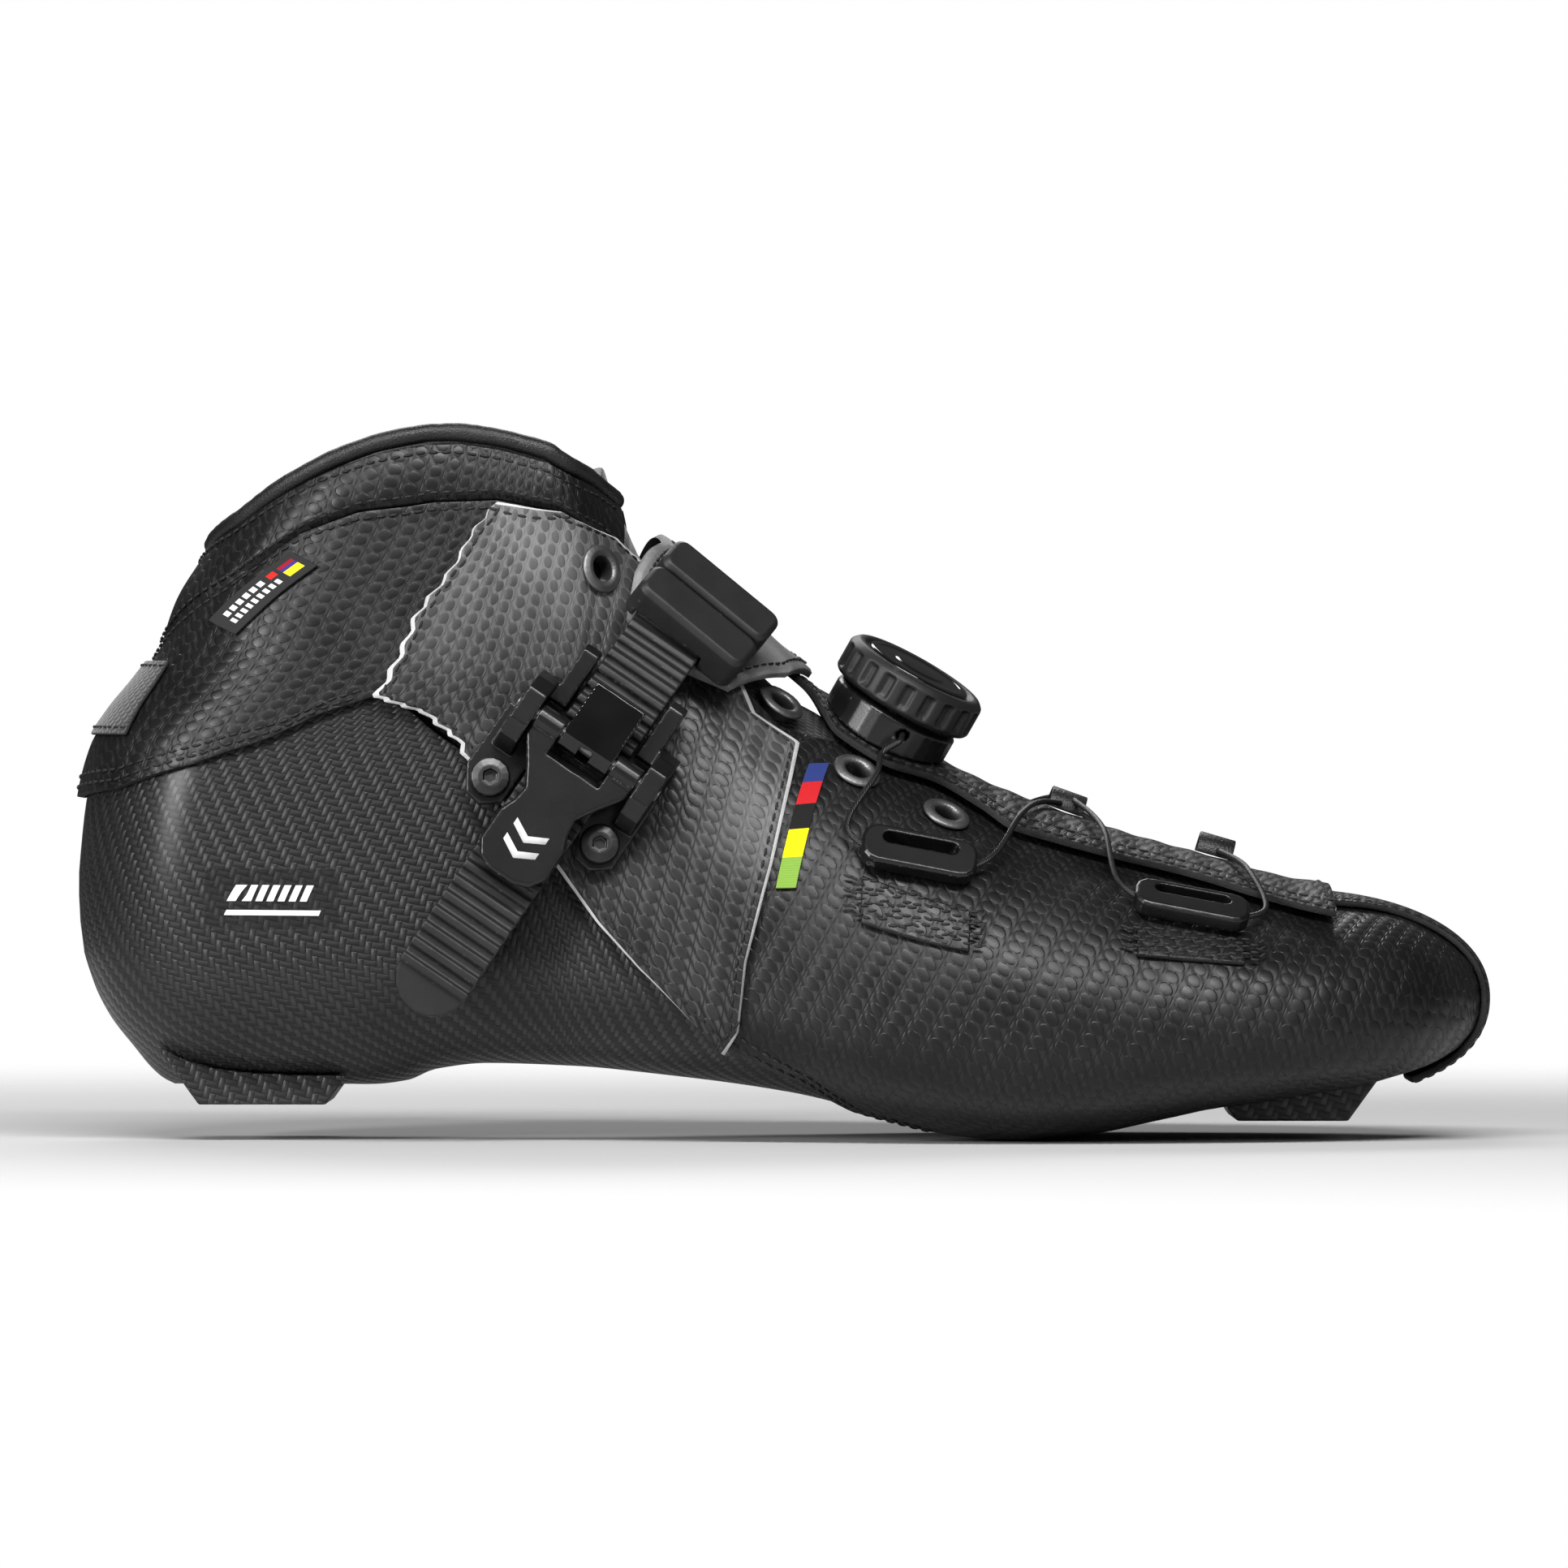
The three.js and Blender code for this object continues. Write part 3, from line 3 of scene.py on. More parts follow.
import bmesh
import bpy
import numpy as np
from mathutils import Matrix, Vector

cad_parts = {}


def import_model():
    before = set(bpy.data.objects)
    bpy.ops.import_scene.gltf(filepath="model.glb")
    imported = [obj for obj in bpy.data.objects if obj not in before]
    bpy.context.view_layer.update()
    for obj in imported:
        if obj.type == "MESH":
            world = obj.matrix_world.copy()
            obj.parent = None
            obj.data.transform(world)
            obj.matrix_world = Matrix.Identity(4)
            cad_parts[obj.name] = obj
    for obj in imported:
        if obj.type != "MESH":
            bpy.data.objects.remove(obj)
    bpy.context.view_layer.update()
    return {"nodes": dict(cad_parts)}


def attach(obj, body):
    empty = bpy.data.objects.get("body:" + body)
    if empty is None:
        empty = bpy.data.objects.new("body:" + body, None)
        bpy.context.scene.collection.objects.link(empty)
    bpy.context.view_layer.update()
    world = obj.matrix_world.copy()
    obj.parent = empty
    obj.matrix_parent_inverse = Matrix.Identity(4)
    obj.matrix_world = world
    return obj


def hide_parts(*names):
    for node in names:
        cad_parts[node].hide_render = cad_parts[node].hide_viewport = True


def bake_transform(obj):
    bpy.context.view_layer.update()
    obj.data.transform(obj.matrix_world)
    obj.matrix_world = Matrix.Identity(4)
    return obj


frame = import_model()

bl_info = {
    "name": "Speed Skating Boot",
    "version": (1, 0, 0),
    "blender": (4, 5, 0),
    "location": "View3D > Sidebar > Boot",
    "description": "Builds a speed skating boot round its frame model, piece by piece",
    "category": "Add Mesh",
}

# ---------------------------------------------------------------- sizes of the boot, in millimetres
GAP, LEATHER = 0.35, 1.3
SKIN = GAP + LEATHER
FORM_LENGTH, FORM_HEIGHT = 266.75, 130.5
BALL_WIDTH, HEEL_WIDTH = 95, 65
ORIGIN = np.array([134.73718, -0.92537, -0.44839])  # the row frame's origin in the form's own axes
MM = 0.001
LATERAL, MEDIAL = -1, 1
DEG = math.pi / 180

CUP_OUTER, CUP_INNER = -0.3, -2.5
LINER_OUTER, LINER_INNER = -3.8, -7.4
COVER_OUTER = 4.5
OVERLAY_SEAT = SKIN + 1.95 + GAP
STRAP_INNER, STRAP_OUTER = 4.85, 7.05
LACE_RADIUS = 0.55
FRAY_DROP = 0.4  # how far the rim of a raw leather edge lies below the rest
HEEL_MOUNT, MOUNT_SPACING = 36, 195
INSERT_BORE, INSERT_RADIUS, INSERT_HEIGHT = 3.0, 5.0, 5.5
EYELET_HOLE, EYELET_BORE = 2.7, 2.3
DIAL_BASE_TOP, KNOB_GAP, KNOB_RADIUS, KNOB_HEIGHT, KNOB_GRIPS = 5.4, 0.7, 14.2, 7.4, 20
TAB_LENGTH, TAB_START, TAB_WIDTH = 20, 9, 10  # the flaps under the lace guides; the last two in degrees
LOOPS = (("rear", 0.7), ("front", 0.808))  # the lace loops' places along the crest

SOLE = [(0.09, 0.074), (0.14, 0.07), (0.18, 0.076), (0.22, 0.093), (0.27, 0.101), (0.35, 0.097),
        (0.434, 0.081), (0.51, 0.059), (0.577, 0.027), (0.634, 0.006), (0.674, 0), (0.72, 0.007),
        (0.77, 0.025), (0.832, 0.047), (0.9, 0.067), (0.936, 0.08), (1, 0.086)]
CREST = [(0, 1.55), (0.18, 1.55), (0.29, 1.5), (0.335, 1.28), (0.36, 1.04), (0.41, 0.82), (0.457, 0.727),
         (0.503, 0.648), (0.56, 0.575), (0.64, 0.487), (0.685, 0.45), (0.742, 0.41), (0.8, 0.377),
         (0.868, 0.34), (1, 0.31)]
BACK = [(0.057, 0.084), (0.082, 0.059), (0.128, 0.039), (0.174, 0.022), (0.22, 0.011), (0.288, 0.002),
        (0.368, 0), (0.426, 0.002), (0.494, 0.006), (0.563, 0.015), (0.609, 0.029), (0.654, 0.047),
        (0.7, 0.063), (0.775, 0.079), (0.841, 0.097), (0.895, 0.108), (1, 0.12), (1.6, 0.16)]
GIRTH = [(0.178, 0.265), (0.292, 0.277), (0.406, 0.243), (0.52, 0.185), (0.634, 0.148), (0.748, 0.145),
         (0.862, 0.16), (1, 0.199)]
TOE_LEVEL = 0.199
WIDTH = [(0.12, 0), (0.22, 0.05), (0.32, 0.12), (0.41, 0.26), (0.5, 0.52), (0.62, 0.93), (0.71, 1),
         (0.79, 0.93), (0.86, 0.78), (1, 0.5)]
MIDDLE = [(0.1, 0), (0.24, -0.5), (0.35, -1.6), (0.5, -2.4), (0.62, -1.6), (0.75, 0.3), (0.87, 2.2), (1, 5)]
RIDGE = [(0.25, 0), (0.42, 1.5), (0.55, 5.5), (0.7, 6), (0.85, 4), (1, 1)]
SOLE_ROUND, CREST_ROUND, HEEL_ROUND, TOE_ROUND = 2.5, 2.25, 2.35, 2.2
HEEL_RADIUS = HEEL_WIDTH * 0.52
TOE_START = 0.83 * FORM_LENGTH
NOSE_START = 0.9 * FORM_LENGTH
LEAN_LENGTH = 0.28 * FORM_LENGTH


# ---------------------------------------------------------------- the boot's form
def smooth(t):
    c = np.clip(t, 0, 1)
    return c * c * (3 - 2 * c)


def power(v, p):
    return np.maximum(v, 0.0) ** p


def floats(*values):
    return np.broadcast_arrays(*(np.asarray(v, float) for v in values))


def running(steps):
    """Lengths along a line from its start, from the lengths of its steps."""
    return np.concatenate([[0], np.cumsum(steps)])


def curve(points):
    """A monotone cubic through points, flat beyond its ends."""
    x = np.array([p[0] for p in points], float)
    y = np.array([p[1] for p in points], float)
    slope = np.diff(y) / np.diff(x)
    tangent = np.zeros(len(x))
    tangent[0], tangent[-1] = slope[0], slope[-1]
    for i in range(1, len(x) - 1):
        a, b = slope[i - 1], slope[i]
        tangent[i] = 0 if a * b <= 0 else 2 * a * b / (a + b)

    def at(v):
        v = np.clip(np.asarray(v, float), x[0], x[-1])
        i = np.clip(np.searchsorted(x, v, side="left") - 1, 0, len(x) - 2)
        h = x[i + 1] - x[i]
        t = (v - x[i]) / h
        s = t * t * (3 - 2 * t)
        return y[i] * (1 - s) + y[i + 1] * s + h * t * (1 - t) * ((1 - t) * tangent[i] - t * tangent[i + 1])

    return at


def sized(shape, sx, sy):
    return curve([(a * sx, b * sy) for a, b in shape])


sole_line = sized(SOLE, FORM_LENGTH, FORM_HEIGHT)
crest_line = sized(CREST, FORM_LENGTH, FORM_HEIGHT)
girth_line = sized(GIRTH, FORM_LENGTH, FORM_HEIGHT)
back_line = sized(BACK, FORM_HEIGHT, FORM_LENGTH)
half_width_line = sized([(x, HEEL_WIDTH / 2 + w * (BALL_WIDTH - HEEL_WIDTH) / 2) for x, w in WIDTH],
                        FORM_LENGTH, 1)
middle_line = sized(MIDDLE, FORM_LENGTH, 1)
ridge_line = sized(RIDGE, FORM_LENGTH, 1)
HEEL_AXIS = float(back_line(0.3 * FORM_HEIGHT)) + HEEL_RADIUS
HEEL_ARC = HEEL_RADIUS * math.pi / 2
U_BACK = HEEL_AXIS - HEEL_ARC
TOE_ARC = (FORM_LENGTH - TOE_START) * 1.35
U_TIP = TOE_START + TOE_ARC


def lean_at(z):
    return back_line(z) + HEEL_RADIUS - HEEL_AXIS


def lean_share(xi):
    return 1 - smooth((xi - HEEL_AXIS) / LEAN_LENGTH)


def section(xi):
    """The heights of the keel, the widest level and the crest."""
    reach = np.clip((xi - NOSE_START) / (FORM_LENGTH - NOSE_START), 0, 1)
    nose = power(1 - reach ** TOE_ROUND, 1 / TOE_ROUND)
    tip = TOE_LEVEL * FORM_HEIGHT
    return [tip + (line(xi) - tip) * nose for line in (sole_line, girth_line, crest_line)]


def fold(side, u, theta):
    """Folds places past the crest, the keel or the back of the heel over to the other side."""
    over, under = theta > 90, theta < -90
    side = np.where(over | under, -side, side)
    theta = np.where(over, 180 - theta, np.where(under, -180 - theta, theta))
    back = u < U_BACK
    side = np.where(back, -side, side)
    u = np.where(back, 2 * U_BACK - u, u)
    return side, np.minimum(u, U_TIP), theta


def xi_of(u):
    psi = np.clip((u - TOE_START) / TOE_ARC, 0, 1) * math.pi / 2
    ahead = TOE_START + (FORM_LENGTH - TOE_START) * power(np.sin(psi), 2 / TOE_ROUND)
    return np.where(u <= TOE_START, np.maximum(u, HEEL_AXIS), ahead)


def surface(side, u, theta):
    side, u, theta = fold(*floats(side, u, theta))
    xi = xi_of(u)
    low, mid, top = section(xi)
    roundness = np.where(theta < 0, SOLE_ROUND, CREST_ROUND)
    rise = power(np.sin(np.abs(theta) * DEG), 2 / roundness)
    z = np.where(theta < 0, mid - (mid - low) * rise, mid + (top - mid) * rise)
    x = xi + lean_at(z) * lean_share(xi)
    toe = np.clip((u - TOE_START) / TOE_ARC, 0, 1) * math.pi / 2
    plan = np.where(u > TOE_START, power(np.cos(toe), 2 / TOE_ROUND), 1)
    phi = np.clip((u - U_BACK) / HEEL_ARC, 0, 1) * math.pi / 2
    heel = u < HEEL_AXIS
    x = np.where(heel, x - HEEL_RADIUS * power(np.cos(phi), 2 / HEEL_ROUND), x)
    plan = np.where(heel, power(np.sin(phi), 2 / HEEL_ROUND), plan)
    half = half_width_line(xi) * plan * power(np.cos(theta * DEG), 2 / roundness)
    shift = middle_line(xi) + np.where(theta > 0, ridge_line(xi) * rise * rise, 0)
    return np.stack([x, shift + side * half, z], -1)


def normal_at(side, u, theta, nested=False):
    side, u, theta = floats(side, u, theta)
    uu = np.minimum(u, U_TIP - 0.5)
    a = surface(side, uu + 0.02, theta) - surface(side, uu - 0.02, theta)
    b = surface(side, uu, theta + 0.05) - surface(side, uu, theta - 0.05)
    n = np.cross(a, b)
    size = np.linalg.norm(n, axis=-1, keepdims=True)
    n = n / np.maximum(size, 1e-12)
    _, _, folded = fold(side, uu, theta)
    xi = np.clip(uu, HEEL_AXIS, FORM_LENGTH - 4)
    mid = section(xi)[1]
    lean = lean_at(surface(side, uu, folded)[..., 2]) * lean_share(xi)
    core = np.stack([xi + lean, middle_line(xi), mid + np.where(folded > 60, 6, 0)], -1)
    outward = np.sum(n * (surface(side, u, theta) - core), -1, keepdims=True)
    n = np.where(outward < 0, -n, n)
    weak = size[..., 0] < 1e-6
    if not nested and weak.any():
        pair = normal_at(LATERAL, u + 1, theta * 0.98, True) + normal_at(MEDIAL, u + 1, theta * 0.98, True)
        pair /= np.maximum(np.linalg.norm(pair, axis=-1, keepdims=True), 1e-12)
        n = np.where(weak[..., None], pair, n)
    return n


def on_surface(side, u, theta, offset):
    return surface(side, u, theta) + normal_at(side, u, theta) * np.asarray(offset, float)[..., None]


def theta_at(u, z):
    low, mid, top = section(xi_of(np.asarray(u, float)))
    below = z < mid
    t = np.clip(np.where(below, (mid - z) / (mid - low), (z - mid) / (top - mid)), 0, 1)
    rounded = np.where(below, SOLE_ROUND, CREST_ROUND)
    return np.sign(z - mid) * np.arcsin(t ** (rounded / 2)) / DEG


def place_of(place):
    """Side-view shares (x, z), or {"x", "theta"} or {"u", "theta"}, as surface coordinates (u, theta)."""
    if isinstance(place, dict):
        if "u" in place:
            return place["u"], place["theta"]
        return place_of((place["x"], TOE_LEVEL))[0], place["theta"]
    x, z = place[0] * FORM_LENGTH, place[1] * FORM_HEIGHT
    lean = float(lean_at(z))
    xi = x
    for _ in range(30):
        xi = 0.5 * xi + 0.5 * (x - lean * float(lean_share(max(xi, HEEL_AXIS))))
    u = xi
    if xi < HEEL_AXIS:
        reach = min(1, max(0, (HEEL_AXIS + lean - x) / HEEL_RADIUS))
        u = U_BACK + math.acos(reach ** (HEEL_ROUND / 2)) / (math.pi / 2) * HEEL_ARC
        xi = HEEL_AXIS
    elif xi > TOE_START:
        reach = min(1, (xi - TOE_START) / (FORM_LENGTH - TOE_START))
        u = TOE_START + math.asin(reach ** (TOE_ROUND / 2)) / (math.pi / 2) * TOE_ARC
    low, mid, top = (float(v) for v in section(np.array(xi)))
    t = min(1, (mid - z) / (mid - low) if z < mid else (z - mid) / (top - mid))
    theta = math.asin(t ** ((SOLE_ROUND if z < mid else CREST_ROUND) / 2)) / DEG
    return u, -theta if z < mid else theta


def u_of(x):
    return place_of((x, TOE_LEVEL))[0]


def path_of(places, level=False):
    """A line through places as (u, theta) over 0..1, spaced by its length; with level, as (u, height)."""
    p = np.array([place_of(q) for q in places], float)
    if level:
        p[:, 1] = surface(LATERAL, p[:, 0], p[:, 1])[:, 2]
    run = running(np.hypot(*np.diff(p, axis=0).T))
    run /= run[-1]
    return lambda s: (np.interp(s, run, p[:, 0]), np.interp(s, run, p[:, 1]))


def level_of(places):
    return curve([place_of(p) for p in places])


def world(points):
    """Form coordinates in millimetres as the row frame's metres."""
    return (np.asarray(points, float) - ORIGIN) * MM


# ---------------------------------------------------------------- patches: (s, t) to surface coordinates
def ruled(side, first, second):
    a, b = path_of(first), path_of(second)

    def at(s, t):
        (ua, ta), (ub, tb) = a(s), b(s)
        return side + 0 * s, ua + (ub - ua) * t, ta + (tb - ta) * t

    return at


def ruled_level(side, first, second, settle=False):
    a, b = path_of(first, True), path_of(second, True)

    def at(s, t):
        (ua, za), (ub, zb) = a(s), b(s)
        u, z = ua + (ub - ua) * t, za + (zb - za) * t
        plain = theta_at(ua, za) * (1 - t) + theta_at(ub, zb) * t
        share = smooth(2 * s - 1) if settle else 0
        return side + 0 * s, u, theta_at(u, z) * (1 - share) + plain * share

    return at


def wrapped(lower, upper):
    a, b = path_of(lower, True), path_of(upper, True)

    def at(s, t):
        (ua, za), (ub, zb) = a(np.abs(2 * s - 1)), b(np.abs(2 * s - 1))
        u, z = ua + (ub - ua) * t, za + (zb - za) * t
        return np.where(s < 0.5, LATERAL, MEDIAL), u, theta_at(u, z)

    return at


def band(start, end, level):
    def at(s, t):
        u = start + (end - start) * s
        low = level(u)
        return LATERAL + 0 * s, u, low + (180 - 2 * low) * t

    return at


def bowl(start, end, level, crowd=1.7):
    def at(s, t):
        u = start + (end - start) * (0.55 * s + 0.45 * s ** 1.5)
        down = np.abs(2 * t - 1)
        theta = -90 + (level(u) + 90) * (1 - (1 - down) ** crowd)
        return np.where(t < 0.5, LATERAL, MEDIAL), u, theta

    return at


# Pattern coordinates follow the surface in real size: along it from the heel, and up from the widest level.
TABLE_LAST = 239
TABLE_U = np.linspace(U_BACK, U_TIP, TABLE_LAST + 1)
TABLE_T = np.linspace(-90, 90, 181)
_grid = surface(LATERAL, TABLE_U[:, None], TABLE_T[None, :])
_steps = np.linalg.norm(np.diff(_grid, axis=1), axis=-1)
TABLE_V = np.concatenate([np.zeros((len(TABLE_U), 1)), np.cumsum(_steps, axis=1)], axis=1)
TABLE_V -= TABLE_V[:, 90:91]
TABLE_RUN = running(np.linalg.norm(np.diff(_grid[:, 100], axis=0), axis=-1))


def up_length(u, theta):
    iu = np.clip((u - U_BACK) / (U_TIP - U_BACK) * TABLE_LAST, 0, TABLE_LAST - 0.001)
    it = np.clip(theta + 90, 0, 179.999)
    i, j = iu.astype(int), it.astype(int)
    fu, ft = iu - i, it - j
    near = TABLE_V[i, j] * (1 - ft) + TABLE_V[i, j + 1] * ft
    far = TABLE_V[i + 1, j] * (1 - ft) + TABLE_V[i + 1, j + 1] * ft
    return near * (1 - fu) + far * fu


def pattern_of(side, u, theta, turn):
    """Pattern coordinates in metres, turned by an angle in degrees."""
    over = theta > 90
    v = np.where(over, 2 * up_length(u, 0 * theta + 90) - up_length(u, 180 - theta), up_length(u, theta))
    along = np.interp(u, TABLE_U, TABLE_RUN) * np.where(side < 0, 1, -1)
    c, s = math.cos(turn * DEG), math.sin(turn * DEG)
    return np.stack([along * c - v * s, along * s + v * c], -1) * MM


# ---------------------------------------------------------------- meshes
def linked(name, data):
    """A new object in the scene."""
    made = bpy.data.objects.new(name, data)
    bpy.context.scene.collection.objects.link(made)
    return made


def smoothed(piece):
    piece.data.polygons.foreach_set("use_smooth", [True] * len(piece.data.polygons))
    return piece


def welded(piece, reach=1e-6):
    """The piece with points that lie together joined and its faces turned outwards."""
    mesh = bmesh.new()
    mesh.from_mesh(piece.data)
    bmesh.ops.remove_doubles(mesh, verts=mesh.verts, dist=reach)
    bmesh.ops.recalc_face_normals(mesh, faces=mesh.faces)
    mesh.to_mesh(piece.data)
    mesh.free()
    return piece


def mesh_object(name, verts, faces, materials, face_materials=None, uv=None):
    """A smooth-shaded mesh from numpy arrays and names of materials, its faces turned outwards."""
    verts = np.asarray(verts, float)
    first = [f[0] for f in faces for _ in range(len(f) - 2)]
    second = [f[i] for f in faces for i in range(1, len(f) - 1)]
    third = [f[i + 1] for f in faces for i in range(1, len(f) - 1)]
    volume = np.sum(verts[first] * np.cross(verts[second], verts[third]))
    if volume < 0:
        faces = [tuple(reversed(f)) for f in faces]
    mesh = bpy.data.meshes.new(name)
    mesh.from_pydata(verts.tolist(), [], [list(map(int, f)) for f in faces])
    for material in materials:
        mesh.materials.append(MATERIALS[material])
    if face_materials is not None:
        mesh.polygons.foreach_set("material_index", np.asarray(face_materials, np.int32))
    if uv is not None:
        layer = mesh.uv_layers.new(name="pattern")
        index = np.empty(len(mesh.loops), np.int32)
        mesh.loops.foreach_get("vertex_index", index)
        layer.data.foreach_set("uv", np.asarray(uv, np.float32)[index].ravel())
    mesh.update()
    return smoothed(linked(name, mesh))


def finished(piece):
    """The piece with its modifiers turned into plain mesh."""
    bpy.context.view_layer.update()
    graph = bpy.context.evaluated_depsgraph_get()
    mesh = bpy.data.meshes.new_from_object(piece.evaluated_get(graph), depsgraph=graph)
    old = piece.data
    piece.modifiers.clear()
    piece.data = mesh
    mesh.name = piece.name
    if old.users == 0 and isinstance(old, bpy.types.Mesh):
        bpy.data.meshes.remove(old)
    return piece


def rounded_edges(piece, width, segments=2, angle=45):
    bevel = piece.modifiers.new("Rounded", "BEVEL")
    bevel.width = width * MM
    bevel.segments = segments
    bevel.limit_method = "ANGLE"
    bevel.angle_limit = angle * DEG
    return finished(piece)


def layer_faces(cols, rows, zipped=False):
    """The faces of two like grids, one over the other, then how many are inside and how many are walls."""
    index = np.arange((cols + 1) * (rows + 1)).reshape(cols + 1, rows + 1)
    half = index.size
    a, b, c, d = index[:-1, :-1], index[1:, :-1], index[1:, 1:], index[:-1, 1:]
    top = np.stack([a, b, c, d], -1).reshape(-1, 4)
    low = np.stack([a, d, c, b], -1).reshape(-1, 4) + half
    rims = [(index[:, 0], False), (index[:, -1], True), (index[-1, :], False), (index[0, :], True)]
    walls = []
    for line, turned_round in rims[:3 if zipped else 4]:
        p, q = line[:-1], line[1:]
        wall = np.stack([p, p + half, q + half, q], -1)
        walls.append(wall[:, ::-1] if turned_round else wall)
    walls = np.concatenate(walls)
    return np.concatenate([top, low, walls]).tolist(), len(low), len(walls)


def sheet_of(name, at, cols, rows, outer, inner, materials, turn=0, zipped=False, holes=(), bevel=0.35,
             unit=False, frayed=False):
    """A layer over the form between two offsets, with materials for its outside, inside and cut edges."""
    s, t = np.meshgrid(np.linspace(0, 1, cols + 1), np.linspace(0, 1, rows + 1), indexing="ij")
    side, u, theta = at(s, t)
    sets = []
    rim = np.zeros(s.shape)
    border = np.zeros((cols, rows), int)
    if frayed:
        rim[[0, -1]] = rim[:, [0, -1]] = FRAY_DROP
        border[[0, -1]] = border[:, [0, -1]] = 2
    for offset, lowered in ((outer, rim), (inner, 0)):
        value = (offset(s, t, u, theta) if callable(offset) else offset + 0 * s) - lowered
        sets.append(on_surface(side, u, theta, value).reshape(-1, 3))
    pattern = np.stack([s, t], -1) if unit else pattern_of(side, u, theta, turn)
    faces, low, walls = layer_faces(cols, rows, zipped)
    kinds = border.ravel().tolist() + [1] * low + [2] * walls
    piece = mesh_object(name, world(np.concatenate(sets)), faces, materials, kinds,
                        np.concatenate([pattern.reshape(-1, 2)] * 2))
    if zipped:
        welded(piece, 2e-6)
    cutters = []
    for frame_matrix, radius in holes:
        cutter = revolved("cutter", [(0, -9), (radius, -9), (radius, 9), (0, 9)], frame_matrix, 32, [])
        cutters.append(cutter)
        cut = piece.modifiers.new("Hole", "BOOLEAN")
        cut.operation = "DIFFERENCE"
        cut.solver = "EXACT"
        cut.object = cutter
    if cutters:
        finished(piece)
        for cutter in cutters:
            bpy.data.objects.remove(cutter)
    if bevel:
        rounded_edges(piece, bevel)
    return smoothed(piece)


def fillet(profile, radius, steps=3):
    """Rounds the corners of an open profile."""
    points = [np.array(profile[0], float)]
    for i in range(1, len(profile) - 1):
        before, here, after = (np.array(profile[j], float) for j in (i - 1, i, i + 1))
        a, b = before - here, after - here
        la, lb = np.linalg.norm(a), np.linalg.norm(b)
        r = min(radius, 0.45 * la, 0.45 * lb)
        p, q = here + a / la * r, here + b / lb * r
        for k in range(steps + 1):
            w = k / steps
            points.append((1 - w) ** 2 * p + 2 * w * (1 - w) * here + w * w * q)
    points.append(np.array(profile[-1], float))
    return points


def revolved(name, profile, matrix, segments, materials, bulge=None):
    """A piece turned about a frame's z from (radius, height) points; bulge(angle, r, z) changes radii."""
    profile = np.array(profile, float)
    closed = np.allclose(profile[0], profile[-1])
    if closed:
        profile = profile[:-1]
    n = len(profile)
    angle = np.arange(segments) * 2 * math.pi / segments
    r = profile[:, 0][:, None] + 0 * angle[None, :]
    z = profile[:, 1][:, None] + 0 * angle[None, :]
    if bulge is not None:
        r = bulge(angle[None, :] + 0 * r, r, z)
    local = np.stack([r * np.cos(angle), r * np.sin(angle), z], -1)
    index = np.arange(n * segments).reshape(n, segments)
    verts = local.reshape(-1, 3)
    faces = []
    for i in range(n if closed else n - 1):
        k = (i + 1) % n
        for j in range(segments):
            m = (j + 1) % segments
            faces.append((index[i, j], index[i, m], index[k, m], index[k, j]))
    verts = place_points(matrix, verts)
    return welded(mesh_object(name, world(verts), faces, materials))


def prism(name, outline, z0, z1, matrix, materials, bevel=0.3, segments=2):
    """A plate of a plan outline from z0 to z1 in a frame."""
    n = len(outline)
    verts = [(x, y, z0) for x, y in outline] + [(x, y, z1) for x, y in outline]
    faces = [tuple(range(n)), tuple(range(2 * n - 1, n - 1, -1))]
    faces += [(i, i + n, (i + 1) % n + n, (i + 1) % n) for i in range(n)]
    made = mesh_object(name, world(place_points(matrix, np.array(verts, float))), faces, materials)
    return rounded_edges(made, bevel, segments, 30) if bevel else made


def moulded(node, name, materials, voxel=0.25, relax=4):
    """A soft-edged copy of a frame node, as it comes out of a mould."""
    mesh = frame["nodes"][node].data.copy()
    mesh.materials.clear()
    for material in materials:
        mesh.materials.append(MATERIALS[material])
    made = welded(linked(name, mesh))
    remesh = made.modifiers.new("Remesh", "REMESH")
    remesh.mode = "VOXEL"
    remesh.voxel_size = voxel * MM
    remesh.use_smooth_shade = True
    soft = made.modifiers.new("Relax", "SMOOTH")
    soft.iterations = relax
    soft.factor = 0.5
    return smoothed(finished(made))


def between(t, j, k, w, a, b):
    """The point at w on the line from a, reached at t[j], to b, reached at t[k]."""
    return (t[k] - w) / (t[k] - t[j]) * a + (w - t[j]) / (t[k] - t[j]) * b


def catmull(points, steps):
    """Points along a centripetal curve through points."""
    p = np.array(points, float)
    p = np.concatenate([[2 * p[0] - p[1]], p, [2 * p[-1] - p[-2]]])
    out = []
    for i in range(1, len(p) - 2):
        q = p[i - 1:i + 3]
        t = running(np.sqrt(np.linalg.norm(np.diff(q, axis=0), axis=1)) + 1e-9)
        for w in np.linspace(t[1], t[2], steps, endpoint=False):
            a = [between(t, j, j + 1, w, q[j], q[j + 1]) for j in range(3)]
            b = [between(t, j, j + 2, w, a[j], a[j + 1]) for j in range(2)]
            out.append(between(t, 1, 2, w, b[0], b[1]))
    out.append(p[-2])
    return np.array(out)


